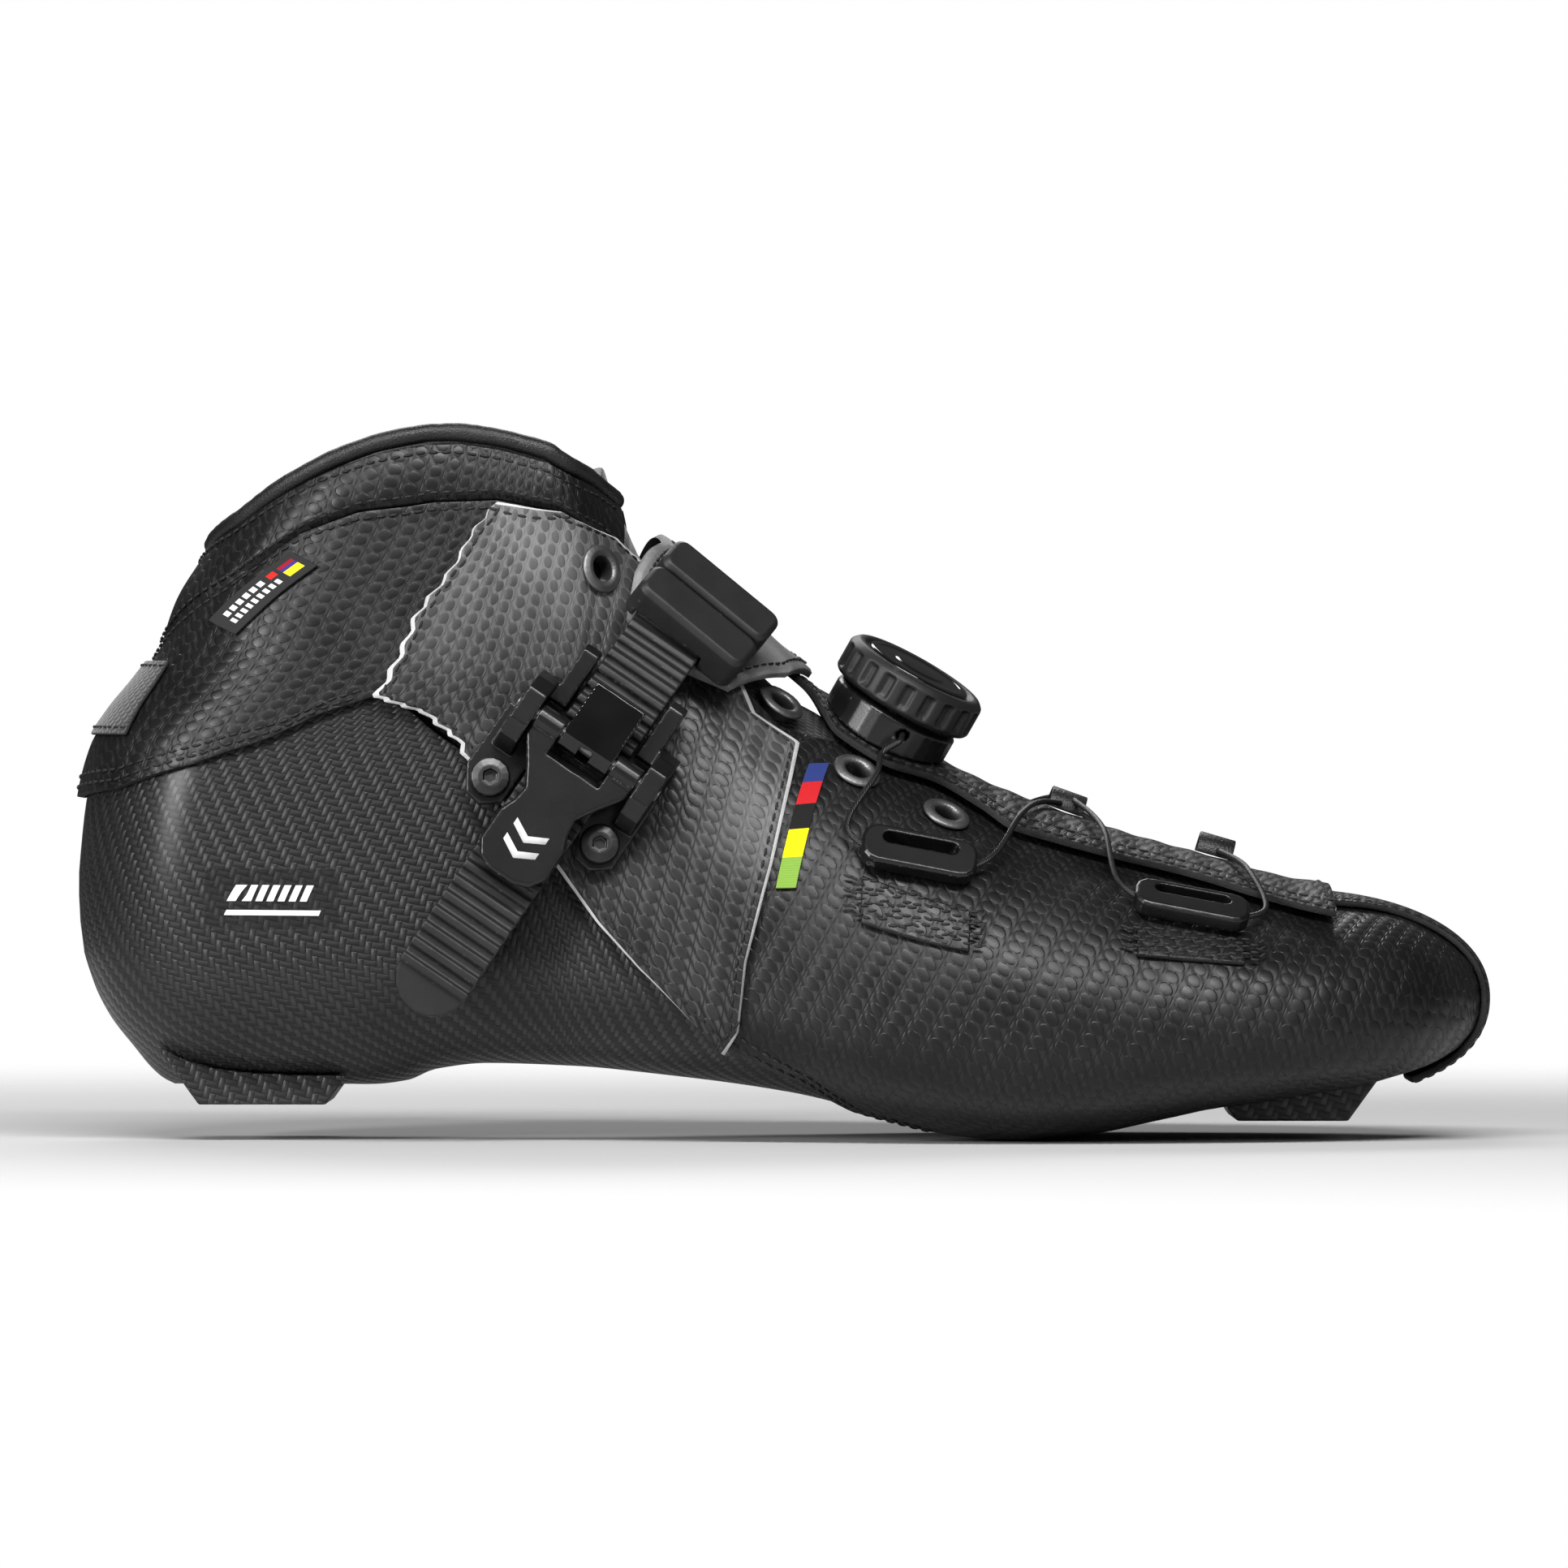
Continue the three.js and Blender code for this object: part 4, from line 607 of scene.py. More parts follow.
def tube(name, points, radius, sides, materials, swell=None):
    """A tube along a line with its pattern running along it, closed at both ends."""
    p = np.array(points, float)
    tangent = np.gradient(p, axis=0)
    tangent /= np.linalg.norm(tangent, axis=1, keepdims=True)
    up = np.cross(tangent[0], [0.3, 0.9, 0.4])
    rings, uvs = [], []
    run = running(np.linalg.norm(np.diff(p, axis=0), axis=1))
    for i in range(len(p)):
        up = up - tangent[i] * np.dot(up, tangent[i])
        up /= np.linalg.norm(up)
        across = np.cross(tangent[i], up)
        angle = np.arange(sides + 1) * 2 * math.pi / sides
        size = radius * (swell(run[i], angle) if swell else 1 + 0 * angle)
        rings.append(p[i] + (np.cos(angle) * size)[:, None] * up + (np.sin(angle) * size)[:, None] * across)
        uvs.append(np.stack([angle * radius, run[i] + 0 * angle], -1) * MM)
    index = np.arange(len(p) * (sides + 1)).reshape(len(p), sides + 1)
    faces = []
    for i in range(len(p) - 1):
        faces += [(index[i, j], index[i, j + 1], index[i + 1, j + 1], index[i + 1, j]) for j in range(sides)]
    verts = np.concatenate(rings)
    uv = np.concatenate(uvs)
    caps = np.array([p[0], p[-1]])
    start, end = len(verts), len(verts) + 1
    verts = np.concatenate([verts, caps])
    uv = np.concatenate([uv, [[0, 0], [0, 0]]])
    for j in range(sides):
        faces.append((index[0, j + 1], index[0, j], start))
        faces.append((index[-1, j], index[-1, j + 1], end))
    return welded(mesh_object(name, world(verts), faces, materials, None, uv), 1e-7)


# ---------------------------------------------------------------- frames on the form, as 4 x 4 matrices
def frame_from(origin, out, towards):
    z = out / np.linalg.norm(out)
    x = towards - origin
    x = x - z * np.dot(x, z)
    x /= np.linalg.norm(x)
    matrix = np.eye(4)
    matrix[:3, 0], matrix[:3, 1], matrix[:3, 2], matrix[:3, 3] = x, np.cross(z, x), z, origin
    return matrix


def frame_on(side, place, target, offset):
    (u, theta), (tu, tt) = place_of(place), place_of(target)
    origin = on_surface(side, u, theta, offset)
    return frame_from(origin, normal_at(side, u, theta), on_surface(side, tu, tt, offset))


def place_points(matrix, points):
    points = np.asarray(points, float)
    return points @ matrix[:3, :3].T + matrix[:3, 3]


def crest_frame(u, offset, theta=90):
    return frame_from(on_surface(LATERAL, u, theta, offset), normal_at(LATERAL, u, theta),
                      on_surface(LATERAL, u + 20, theta, offset))


BUCKLE_PLACE = (0.366, 0.55)
BUCKLE = frame_on(LATERAL, BUCKLE_PLACE, (0.243, 0.191), OVERLAY_SEAT)
DIAL = crest_frame(place_of({"x": 0.568, "theta": 78})[0], COVER_OUTER + GAP, 78)
LEVER_TOP = GAP + 8.2  # the height of the lever's face over the buckle's seat
SIDES = ((LATERAL, "lateral"), (MEDIAL, "medial"))


# ---------------------------------------------------------------- node trees
class Tree:
    """Adds nodes to a tree and wires what it is given: a socket is linked and a value is set."""

    def __init__(self, tree):
        self.tree = tree

    def put(self, kind, inputs=None, **settings):
        node = self.tree.nodes.new(kind)
        for key, value in settings.items():
            setattr(node, key, value)
        for key, value in (inputs or {}).items():
            self.feed(node.inputs[key], value)
        return node

    def feed(self, socket, value):
        if isinstance(value, bpy.types.NodeSocket):
            self.tree.links.new(value, socket)
        elif value is not None:
            socket.default_value = value

    def math(self, operation, *values):
        node = self.put("ShaderNodeMath", operation=operation)
        for socket, value in zip(node.inputs, values):
            self.feed(socket, value)
        return node.outputs[0]

    def plus(self, a, b):
        return self.math("ADD", a, b)

    def minus(self, a, b):
        return self.math("SUBTRACT", a, b)

    def times(self, a, b):
        return self.math("MULTIPLY", a, b)

    def over(self, a, b):
        return self.math("DIVIDE", a, b)

    def ramp(self, value, start, end, low=0.0, high=1.0):
        node = self.put("ShaderNodeMapRange", interpolation_type="SMOOTHSTEP")
        names = ("Value", "From Min", "From Max", "To Min", "To Max")
        for key, item in zip(names, (value, start, end, low, high)):
            self.feed(node.inputs[key], item)
        return node.outputs[0]

    def noise(self, place, scale, detail, **more):
        given = {"Vector": place, "Scale": scale, "Detail": detail, **more}
        return self.put("ShaderNodeTexNoise", given).outputs[0]

    def paint(self, shader, colour, roughness, normal):
        for key, value in (("Base Color", colour), ("Roughness", roughness), ("Normal", normal)):
            self.feed(shader[key], value)

    def place(self):
        return self.put("ShaderNodeTexCoord").outputs["Object"]

    def split(self, vector):
        return self.put("ShaderNodeSeparateXYZ", {"Vector": vector}).outputs

    def mix(self, share, a, b):
        node = self.put("ShaderNodeMix", data_type="RGBA")
        self.feed(node.inputs[0], share)
        self.feed(node.inputs[6], a)
        self.feed(node.inputs[7], b)
        return node.outputs[2]

    def bump(self, height, distance, strength=1.0, normal=None):
        node = self.put("ShaderNodeBump", {"Strength": strength, "Distance": distance, "Height": height})
        if normal is not None:
            self.feed(node.inputs["Normal"], normal)
        return node.outputs[0]


def node_group(name, inputs, outputs):
    """An empty shader group, its Tree, its input node's sockets and its output node."""
    group = bpy.data.node_groups.new(name, "ShaderNodeTree")
    for label, kind, value in inputs:
        socket = group.interface.new_socket(label, in_out="INPUT", socket_type=kind)
        if value is not None:
            socket.default_value = value
    for label, kind in outputs:
        group.interface.new_socket(label, in_out="OUTPUT", socket_type=kind)
    t = Tree(group)
    return group, t, t.put("NodeGroupInput").outputs, t.put("NodeGroupOutput").inputs


FLOAT, VECTOR = "NodeSocketFloat", "NodeSocketVector"


def twill_group():
    """Two-by-two twill: each tow passes over two and under two, one step further on in each row."""
    group, t, given, out = node_group(
        "Twill Weave", [("Vector", VECTOR, None), ("Tow Width", FLOAT, 0.002)],
        [("Height", FLOAT), ("Warp", FLOAT), ("Fibres", FLOAT)])
    split = t.split(given["Vector"])
    x = t.over(split[0], given["Tow Width"])
    y = t.over(split[1], given["Tow Width"])
    fx, fy = t.math("FRACT", x), t.math("FRACT", y)
    along_y = t.math("FLOORED_MODULO", t.plus(y, t.math("FLOOR", x)), 4.0)
    along_x = t.math("FLOORED_MODULO", t.plus(t.plus(x, t.math("FLOOR", y)), 2.0), 4.0)
    warp = t.math("LESS_THAN", along_y, 2.0)

    def float_height(along, across):
        length = t.math("SINE", t.times(t.math("MINIMUM", along, 2.0), math.pi / 2))
        width = t.math("SINE", t.times(across, math.pi))
        return t.times(t.math("POWER", t.math("MAXIMUM", length, 0.0), 0.45),
                       t.math("POWER", t.math("MAXIMUM", width, 0.0), 0.5))

    up, side = float_height(along_y, fx), float_height(along_x, fy)
    weft = t.minus(1.0, warp)
    height = t.plus(t.times(up, warp), t.times(side, weft))
    t.feed(out["Height"], height)
    t.feed(out["Warp"], warp)
    strands = t.plus(t.times(fx, warp), t.times(fy, weft))
    t.feed(out["Fibres"], t.math("SINE", t.times(strands, 44.0)))
    return group


def emboss_group():
    """Columns of raised ovals with slanted braid between them, as pressed into coated leather."""
    group, t, given, out = node_group(
        "Pressed Weave",
        [("Vector", VECTOR, None), ("Column Pitch", FLOAT, 0.004), ("Row Pitch", FLOAT, 0.0024)],
        [("Height", FLOAT), ("Oval", FLOAT), ("Braid", FLOAT)])
    split = t.split(given["Vector"])
    x = t.over(split[0], given["Column Pitch"])
    column = t.math("FLOOR", x)
    across = t.minus(t.math("FRACT", x), 0.5)
    fx = t.math("ABSOLUTE", across)
    stagger = t.times(t.math("FLOORED_MODULO", column, 2.0), 0.5)
    y = t.plus(t.over(split[1], given["Row Pitch"]), stagger)
    tilted = t.plus(t.math("FRACT", y), t.times(across, 0.35))
    fy = t.minus(tilted, 0.5)
    ox = t.math("POWER", t.over(fx, 0.35), 2.0)
    oy = t.math("POWER", t.math("ABSOLUTE", t.over(fy, 0.45)), 2.0)
    reach = t.plus(ox, oy)
    oval = t.ramp(reach, 1.1, 0.8)
    dome = t.math("SQRT", t.minus(1.0, t.math("MINIMUM", t.times(reach, 0.8), 1.0)))
    wrap = t.minus(t.math("FRACT", t.plus(x, 0.5)), 0.5)
    slant = t.plus(t.over(split[1], given["Row Pitch"]), t.times(wrap, 1.6))
    braid = t.plus(t.times(t.math("SINE", t.times(slant, 2 * math.pi)), 0.5), 0.5)
    groove = t.ramp(t.math("ABSOLUTE", t.minus(fx, 0.5)), 0.0, 0.06)
    between = t.times(t.minus(1.0, oval), t.times(braid, groove))
    height = t.plus(t.times(dome, oval), t.times(between, 0.55))
    t.feed(out["Height"], height)
    t.feed(out["Oval"], oval)
    t.feed(out["Braid"], between)
    return group


def variation_group():
    """Slow blotches and a fine grain over a whole surface, both from 0 to 1."""
    group, t, given, out = node_group(
        "Surface Variation", [("Blotch Scale", FLOAT, 60.0), ("Grain Scale", FLOAT, 2500.0)],
        [("Blotches", FLOAT), ("Grain", FLOAT), ("Scuffs", FLOAT)])
    place = t.place()
    t.feed(out["Blotches"], t.ramp(t.noise(place, given["Blotch Scale"], 4.0), 0.3, 0.7))
    t.feed(out["Grain"], t.noise(place, given["Grain Scale"], 2.0))
    t.feed(out["Scuffs"], t.ramp(t.noise(place, 400.0, 6.0, Roughness=0.7), 0.62, 0.75))
    return group


def wear_and_highlight_group():
    """How worn an edge is: 0 on flats and in corners, rising on edges that stand out."""
    group, t, given, out = node_group(
        "Edge Wear And Highlight", [("Start", FLOAT, 0.52), ("End", FLOAT, 0.62)], [("Wear", FLOAT)])
    point = t.put("ShaderNodeNewGeometry").outputs["Pointiness"]
    edge = t.ramp(point, given["Start"], given["End"])
    t.feed(out["Wear"], t.times(edge, t.ramp(t.noise(t.place(), 300.0, 3.0), 0.3, 0.65)))
    return group


def knit_group():
    """Rows of small interlocking loops."""
    group, t, given, out = node_group(
        "Knit", [("Vector", VECTOR, None), ("Pitch", FLOAT, 0.0012)], [("Height", FLOAT), ("Hole", FLOAT)])
    split = t.split(given["Vector"])
    x = t.over(split[0], given["Pitch"])
    stagger = t.times(t.math("FLOORED_MODULO", t.math("FLOOR", x), 2.0), 0.5)
    y = t.plus(t.over(split[1], given["Pitch"]), stagger)
    px = t.minus(t.math("FRACT", x), 0.5)
    py = t.minus(t.math("FRACT", y), 0.5)
    reach = t.plus(t.times(px, px), t.times(py, py))
    t.feed(out["Height"], t.ramp(reach, 0.03, 0.22))
    t.feed(out["Hole"], t.ramp(reach, 0.09, 0.05))
    return group


GROUPS = {}


def use(t, name, inputs=None):
    node = t.put("ShaderNodeGroup", node_tree=GROUPS[name])
    for key, value in (inputs or {}).items():
        t.feed(node.inputs[key], value)
    return node.outputs


def grey(value, tint=0.0):
    return (value * (1 - tint), value, value * (1 + tint), 1)


MATERIALS = {}


def new_material(name, **constants):
    """A material with a Principled shader whose plain numbers are set on its own sockets."""
    material = bpy.data.materials.new(name)
    material.use_nodes = True
    shader = material.node_tree.nodes["Principled BSDF"]
    for key, value in constants.items():
        shader.inputs[key.replace("_", " ")].default_value = value
    MATERIALS[name] = material
    return Tree(material.node_tree), shader.inputs


def uv_of(t):
    return t.put("ShaderNodeUVMap", uv_map="pattern").outputs[0]


def carbon_material(name, tow, dark, light):
    t, shader = new_material(name, Coat_Weight=0.24, Coat_Roughness=0.24, Specular_IOR_Level=0.32)
    weave = use(t, "Twill Weave", {"Vector": uv_of(t), "Tow Width": tow})
    change = use(t, "Surface Variation", {"Blotch Scale": 45.0})
    # Painted reflection: warp floats are painted paler than the weft, and each float paler on its crown,
    # standing in for the sheen that carbon tows throw back according to their direction.
    tone = t.times(weave["Height"], t.plus(t.times(weave["Warp"], 0.85), 0.15))
    tone = t.times(tone, t.plus(t.times(change["Blotches"], 0.4), 0.8))
    rough = t.minus(0.56, t.times(weave["Warp"], 0.24))
    fibres = t.bump(weave["Fibres"], 0.00002, 0.35)
    t.paint(shader, t.mix(tone, dark, light), t.plus(rough, t.times(change["Scuffs"], 0.15)),
            t.bump(weave["Height"], 0.00022, 0.9, fibres))


def pressed_material(name, column, row, dark, light, depth=0.00016, rough=0.42, fade=None):
    """Coated leather with a pressed weave: dark smooth ovals, paler braid between them."""
    t, shader = new_material(name, Specular_IOR_Level=0.34)
    weave = use(t, "Pressed Weave", {"Vector": uv_of(t), "Column Pitch": column, "Row Pitch": row})
    change = use(t, "Surface Variation", {"Blotch Scale": 70.0, "Grain Scale": 2200.0})
    tone = t.plus(t.times(weave["Braid"], 0.9), t.times(weave["Oval"], 0.3))
    tone = t.times(tone, t.plus(t.times(change["Blotches"], 0.8), 0.45))
    base = t.mix(tone, dark, light)
    # Painted sheen: paler from the fade heights up, as if lit from above, plus a painted lit patch towards
    # the front; the blotches break it up and the ovals take less of it.
    if fade:
        place = t.split(t.place())
        front = t.times(t.ramp(place[0], -0.018, 0.002), t.ramp(place[2], 0.036, 0.062))
        painted_sheen = t.math("MAXIMUM", t.ramp(place[2], *fade), t.times(front, 0.75))
        painted_sheen = t.times(painted_sheen, t.plus(t.times(change["Blotches"], 0.5), 0.5))
        painted_sheen = t.times(painted_sheen, t.minus(1.0, t.times(weave["Oval"], 0.55)))
        base = t.mix(painted_sheen, base, grey(0.15))
    level = t.plus(t.times(weave["Oval"], -0.08), rough)
    level = t.plus(level, t.times(change["Blotches"], 0.1))
    grain = t.bump(change["Grain"], 0.00005, 0.3)
    t.paint(shader, base, level, t.bump(weave["Height"], depth, 0.9, grain))


def leather_material(name, dark, light, rough=0.5, scale=1400.0, specular=0.45):
    """Plain grained leather or coated fabric."""
    t, shader = new_material(name, Specular_IOR_Level=specular)
    cells = t.put("ShaderNodeTexVoronoi", {"Vector": t.place(), "Scale": scale}, feature="DISTANCE_TO_EDGE")
    change = use(t, "Surface Variation", {"Blotch Scale": 90.0})
    grain = t.ramp(cells.outputs["Distance"], 0.0, 0.22)
    t.paint(shader, t.mix(change["Blotches"], dark, light), t.plus(t.times(change["Blotches"], 0.12), rough),
            t.bump(grain, 0.00005, 0.7, t.bump(change["Grain"], 0.00003, 0.3)))


def moulded_material(name, dark, light, rough, wear_and_highlight=0.4, grain=0.35, specular=0.5):
    """Moulded plastic or rubber: fine texture, paler worn edges."""
    t, shader = new_material(name, Specular_IOR_Level=specular)
    change = use(t, "Surface Variation", {"Blotch Scale": 120.0, "Grain Scale": 3800.0})
    edge = use(t, "Edge Wear And Highlight")["Wear"]
    base = t.mix(change["Blotches"], dark, light)
    t.paint(shader, t.mix(t.times(edge, wear_and_highlight), base, grey(0.16)),
            t.plus(t.times(change["Scuffs"], 0.12), rough), t.bump(change["Grain"], 0.00004, grain))


def metal_material(name, tone, rough):
    t, shader = new_material(name, Metallic=1.0)
    stretched = t.put("ShaderNodeMapping", {"Vector": t.place(), "Scale": (900.0, 900.0, 9000.0)}).outputs[0]
    brushed = t.noise(stretched, 1.0, 3.0)
    change = use(t, "Surface Variation", {"Blotch Scale": 200.0})
    t.paint(shader, t.mix(change["Blotches"], grey(tone * 0.75), grey(tone)),
            t.plus(t.times(brushed, 0.2), rough), t.bump(brushed, 0.00001, 0.4))


def knit_material(name, pitch, dark, light, hole=0.0, sheen=0.35):
    t, shader = new_material(name, Sheen_Weight=sheen, Sheen_Roughness=0.5, Specular_IOR_Level=0.2)
    knit = use(t, "Knit", {"Vector": uv_of(t), "Pitch": pitch})
    change = use(t, "Surface Variation", {"Blotch Scale": 80.0})
    base = t.mix(knit["Height"], light, dark)
    base = t.mix(t.times(change["Blotches"], 0.35), base, dark)
    t.paint(shader, t.mix(t.times(knit["Hole"], hole), base, grey(0.004)),
            t.plus(t.times(change["Grain"], 0.1), 0.82), t.bump(knit["Height"], 0.0002, 0.7))


def wire_material():
    """Coated wire rope: strands wound round the lace."""
    t, shader = new_material("wire_lace", Specular_IOR_Level=0.4)
    split = t.split(uv_of(t))
    twist = t.plus(t.times(split[0], 7280.0), t.times(split[1], 4200.0))
    strand = t.math("ABSOLUTE", t.math("SINE", twist))
    t.paint(shader, t.mix(strand, grey(0.002), grey(0.012)), t.minus(0.5, t.times(strand, 0.15)),
            t.bump(strand, 0.00008, 0.8))


def bars(t, x, y, centre, size, slant, count, fill):
    """A mask of slanted bars in a row, in a label's own 0..1 places."""
    lean = t.minus(x, t.times(t.minus(y, centre[1]), slant))
    along = t.over(t.minus(lean, centre[0] - size[0] / 2), size[0])
    inside = t.times(t.math("GREATER_THAN", along, 0.0), t.math("LESS_THAN", along, 1.0))
    level = t.math("LESS_THAN", t.math("ABSOLUTE", t.minus(y, centre[1])), size[1] / 2)
    gaps = t.math("LESS_THAN", t.math("FRACT", t.times(along, float(count))), fill)
    return t.times(t.times(inside, level), gaps)


def label_places(t):
    return t.split(uv_of(t))


def sticker_material():
    """A clear patch with plain slanted bars."""
    t, shader = new_material("clear_patch", Coat_Weight=0.8, Coat_Roughness=0.08)
    x, y, _ = label_places(t)
    mark = bars(t, x, y, (0.5, 0.58), (0.62, 0.26), 0.22, 7, 0.62)
    low = bars(t, x, y, (0.5, 0.27), (0.7, 0.08), 0.22, 1, 1.0)
    mark = t.math("MAXIMUM", mark, low)
    change = use(t, "Surface Variation")
    base = t.mix(change["Blotches"], grey(0.02), grey(0.032))
    t.feed(shader["Base Color"], t.mix(mark, base, grey(0.85)))
    t.feed(shader["Alpha"], t.plus(t.times(mark, 0.82), 0.18))
    t.feed(shader["Roughness"], t.plus(t.times(change["Scuffs"], 0.2), 0.22))


def tag_material():
    """A woven tag with two rows of dashes and a small block of colour."""
    t, shader = new_material("woven_tag", Specular_IOR_Level=0.25)
    x, y, _ = label_places(t)
    dashes = t.math("MAXIMUM", bars(t, x, y, (0.42, 0.66), (0.62, 0.2), 0.0, 9, 0.6),
                    bars(t, x, y, (0.38, 0.34), (0.5, 0.2), 0.0, 6, 0.68))
    block = bars(t, x, y, (0.86, 0.5), (0.16, 0.52), 0.0, 1, 1.0)
    threads = t.math("SINE", t.times(y, 170.0))
    base = t.mix(dashes, grey(0.025), grey(0.7))
    base = t.mix(bars(t, x, y, (0.7, 0.34), (0.08, 0.22), 0.0, 1, 1.0), base, (0.6, 0.02, 0.015, 1))
    low = t.mix(t.math("GREATER_THAN", y, 0.37), (0.3, 0.01, 0.02, 1), (0.05, 0.03, 0.22, 1))
    patch = t.mix(t.math("GREATER_THAN", y, 0.5), low, (0.85, 0.75, 0.02, 1))
    t.paint(shader, t.mix(block, base, patch), t.plus(t.times(dashes, -0.2), 0.85),
            t.bump(threads, 0.00006, 0.6))


def stripe_material(colours):
    """A woven tag of five colour blocks, one above the other."""
    t, shader = new_material("stripe_tag", Specular_IOR_Level=0.25)
    x = label_places(t)[0]
    blocks = t.put("ShaderNodeValToRGB", {"Fac": x})
    blocks.color_ramp.interpolation = "CONSTANT"
    elements = blocks.color_ramp.elements
    for i, colour in enumerate(colours):
        element = elements[i] if i < 2 else elements.new(i / 5)
        element.position = i / 5
        element.color = colour
    threads = t.math("SINE", t.times(x, 420.0))
    t.paint(shader, blocks.outputs[0], t.plus(t.times(threads, 0.05), 0.75), t.bump(threads, 0.00005, 0.6))


def build_materials():
    finish = bpy.context.scene.boot_finish
    for name, make in (("Twill Weave", twill_group), ("Pressed Weave", emboss_group), ("Knit", knit_group),
                       ("Surface Variation", variation_group), ("Edge Wear And Highlight", wear_and_highlight_group)):
        GROUPS[name] = make()
    black, print_tone = tuple(finish.leather_colour), tuple(finish.print_colour)
    carbon_material("carbon_twill", finish.tow_width, tuple(finish.carbon_colour), grey(0.024))
    carbon_material("carbon_fine", finish.tow_width, grey(0.004), grey(0.022))
    pressed_material("pressed_leather", finish.emboss_pitch, finish.emboss_pitch * 0.6, black, print_tone)
    # The overlay leather gets the painted sheen over its upper part.
    pressed_material("overlay_leather", finish.emboss_pitch, finish.emboss_pitch * 0.6, black, grey(0.06),
                     0.00018, 0.42, (0.08, 0.114))
    pressed_material("ribbed_leather", 0.0026, 0.005, black, print_tone, 0.00014, 0.46)
    leather_material("plain_leather", grey(0.006), grey(0.011), 0.42)
    leather_material("backing", grey(0.02), grey(0.035), 0.8, 900.0, 0.2)
    leather_material("cut_edge", grey(0.4), grey(0.6), 0.75, 2200.0, 0.2)
    leather_material("strap_edge", grey(0.12), grey(0.3), 0.75, 2200.0, 0.2)
    leather_material("dark_edge", grey(0.012), grey(0.03), 0.7, 2200.0, 0.2)
    leather_material("grey_leather", tuple(finish.strap_colour), grey(0.2), 0.62, 1700.0, 0.3)
    leather_material("thread", grey(0.004), grey(0.012), 0.55, 3000.0)
    moulded_material("satin_plastic", grey(0.003), grey(0.006), 0.32)
    moulded_material("gloss_plastic", grey(0.004), grey(0.006), 0.1, 0.15, 0.05)
    moulded_material("rubber", grey(0.009), grey(0.014), 0.5, 0.25, 0.6, 0.4)
    moulded_material("pale_mark", grey(0.5), grey(0.6), 0.4)
    metal_material("steel", 0.23, 0.4)
    metal_material("alloy", 0.5, 0.32)
    metal_material("dark_steel", 0.07, 0.3)
    knit_material("lining_knit", 0.0013, grey(0.01), grey(0.03))
    knit_material("collar_mesh", 0.0016, grey(0.008), grey(0.026), 0.8)
    knit_material("grey_mesh", 0.0015, grey(0.02), grey(0.11), 0.9)
    knit_material("foot_bed", 0.0009, grey(0.014), grey(0.035))
    wire_material()
    sticker_material()
    tag_material()
    stripe_material([(0.02, 0.035, 0.17, 1), (0.5, 0.01, 0.015, 1), (0.006, 0.006, 0.006, 1),
                     (0.85, 0.78, 0.0, 1), (0.2, 0.36, 0.05, 1)])


# ---------------------------------------------------------------- repeated details by Geometry Nodes
def stitch_tree():
    """Stitches laid along every line of a wire mesh, flat on the surface given by its "out" attribute."""
    tree = bpy.data.node_groups.new("Stitch Rows", "GeometryNodeTree")
    face = tree.interface
    face.new_socket("Geometry", in_out="INPUT", socket_type="NodeSocketGeometry")
    for label, value in (("Pitch", 0.0024), ("Stitch Length", 0.0019), ("Thread Width", 0.0006)):
        face.new_socket(label, in_out="INPUT", socket_type="NodeSocketFloat").default_value = value
    face.new_socket("Material", in_out="INPUT", socket_type="NodeSocketMaterial")
    face.new_socket("Geometry", in_out="OUTPUT", socket_type="NodeSocketGeometry")
    t = Tree(tree)
    given = t.put("NodeGroupInput").outputs
    line = t.put("GeometryNodeMeshToCurve", {"Mesh": given["Geometry"]}).outputs["Curve"]
    spaced = t.put("GeometryNodeResampleCurve", {"Curve": line, "Length": given["Pitch"]}, mode="LENGTH")
    ball = t.put("GeometryNodeMeshUVSphere", {"Segments": 8, "Rings": 5, "Radius": 1.0}).outputs["Mesh"]
    size = t.put("ShaderNodeCombineXYZ", {
        "X": t.times(given["Stitch Length"], 0.5), "Y": t.times(given["Thread Width"], 0.5),
        "Z": t.times(given["Thread Width"], 0.45)}).outputs[0]
    shaped = t.put("GeometryNodeTransform", {"Geometry": ball, "Scale": size}).outputs[0]
    tangent = t.put("GeometryNodeInputTangent").outputs[0]
    along = t.put("FunctionNodeAlignRotationToVector", {"Vector": tangent}, axis="X")
    out_of = t.put("GeometryNodeInputNamedAttribute", {"Name": "out"}, data_type="FLOAT_VECTOR")
    upright = t.put("FunctionNodeAlignRotationToVector",
                    {"Rotation": along.outputs[0], "Vector": out_of.outputs[0]}, axis="Z", pivot_axis="X")
    placed = t.put("GeometryNodeInstanceOnPoints", {
        "Points": spaced.outputs[0], "Instance": shaped, "Rotation": upright.outputs[0]}).outputs[0]
    real = t.put("GeometryNodeRealizeInstances", {"Geometry": placed}).outputs[0]
    done = t.put("GeometryNodeSetMaterial", {"Geometry": real, "Material": given["Material"]}).outputs[0]
    t.feed(t.put("NodeGroupOutput").inputs[0], done)
    return tree


def set_inputs(modifier, values):
    for item in modifier.node_group.interface.items_tree:
        if item.item_type == "SOCKET" and item.in_out == "INPUT" and item.name in values:
            modifier[item.identifier] = values[item.name]


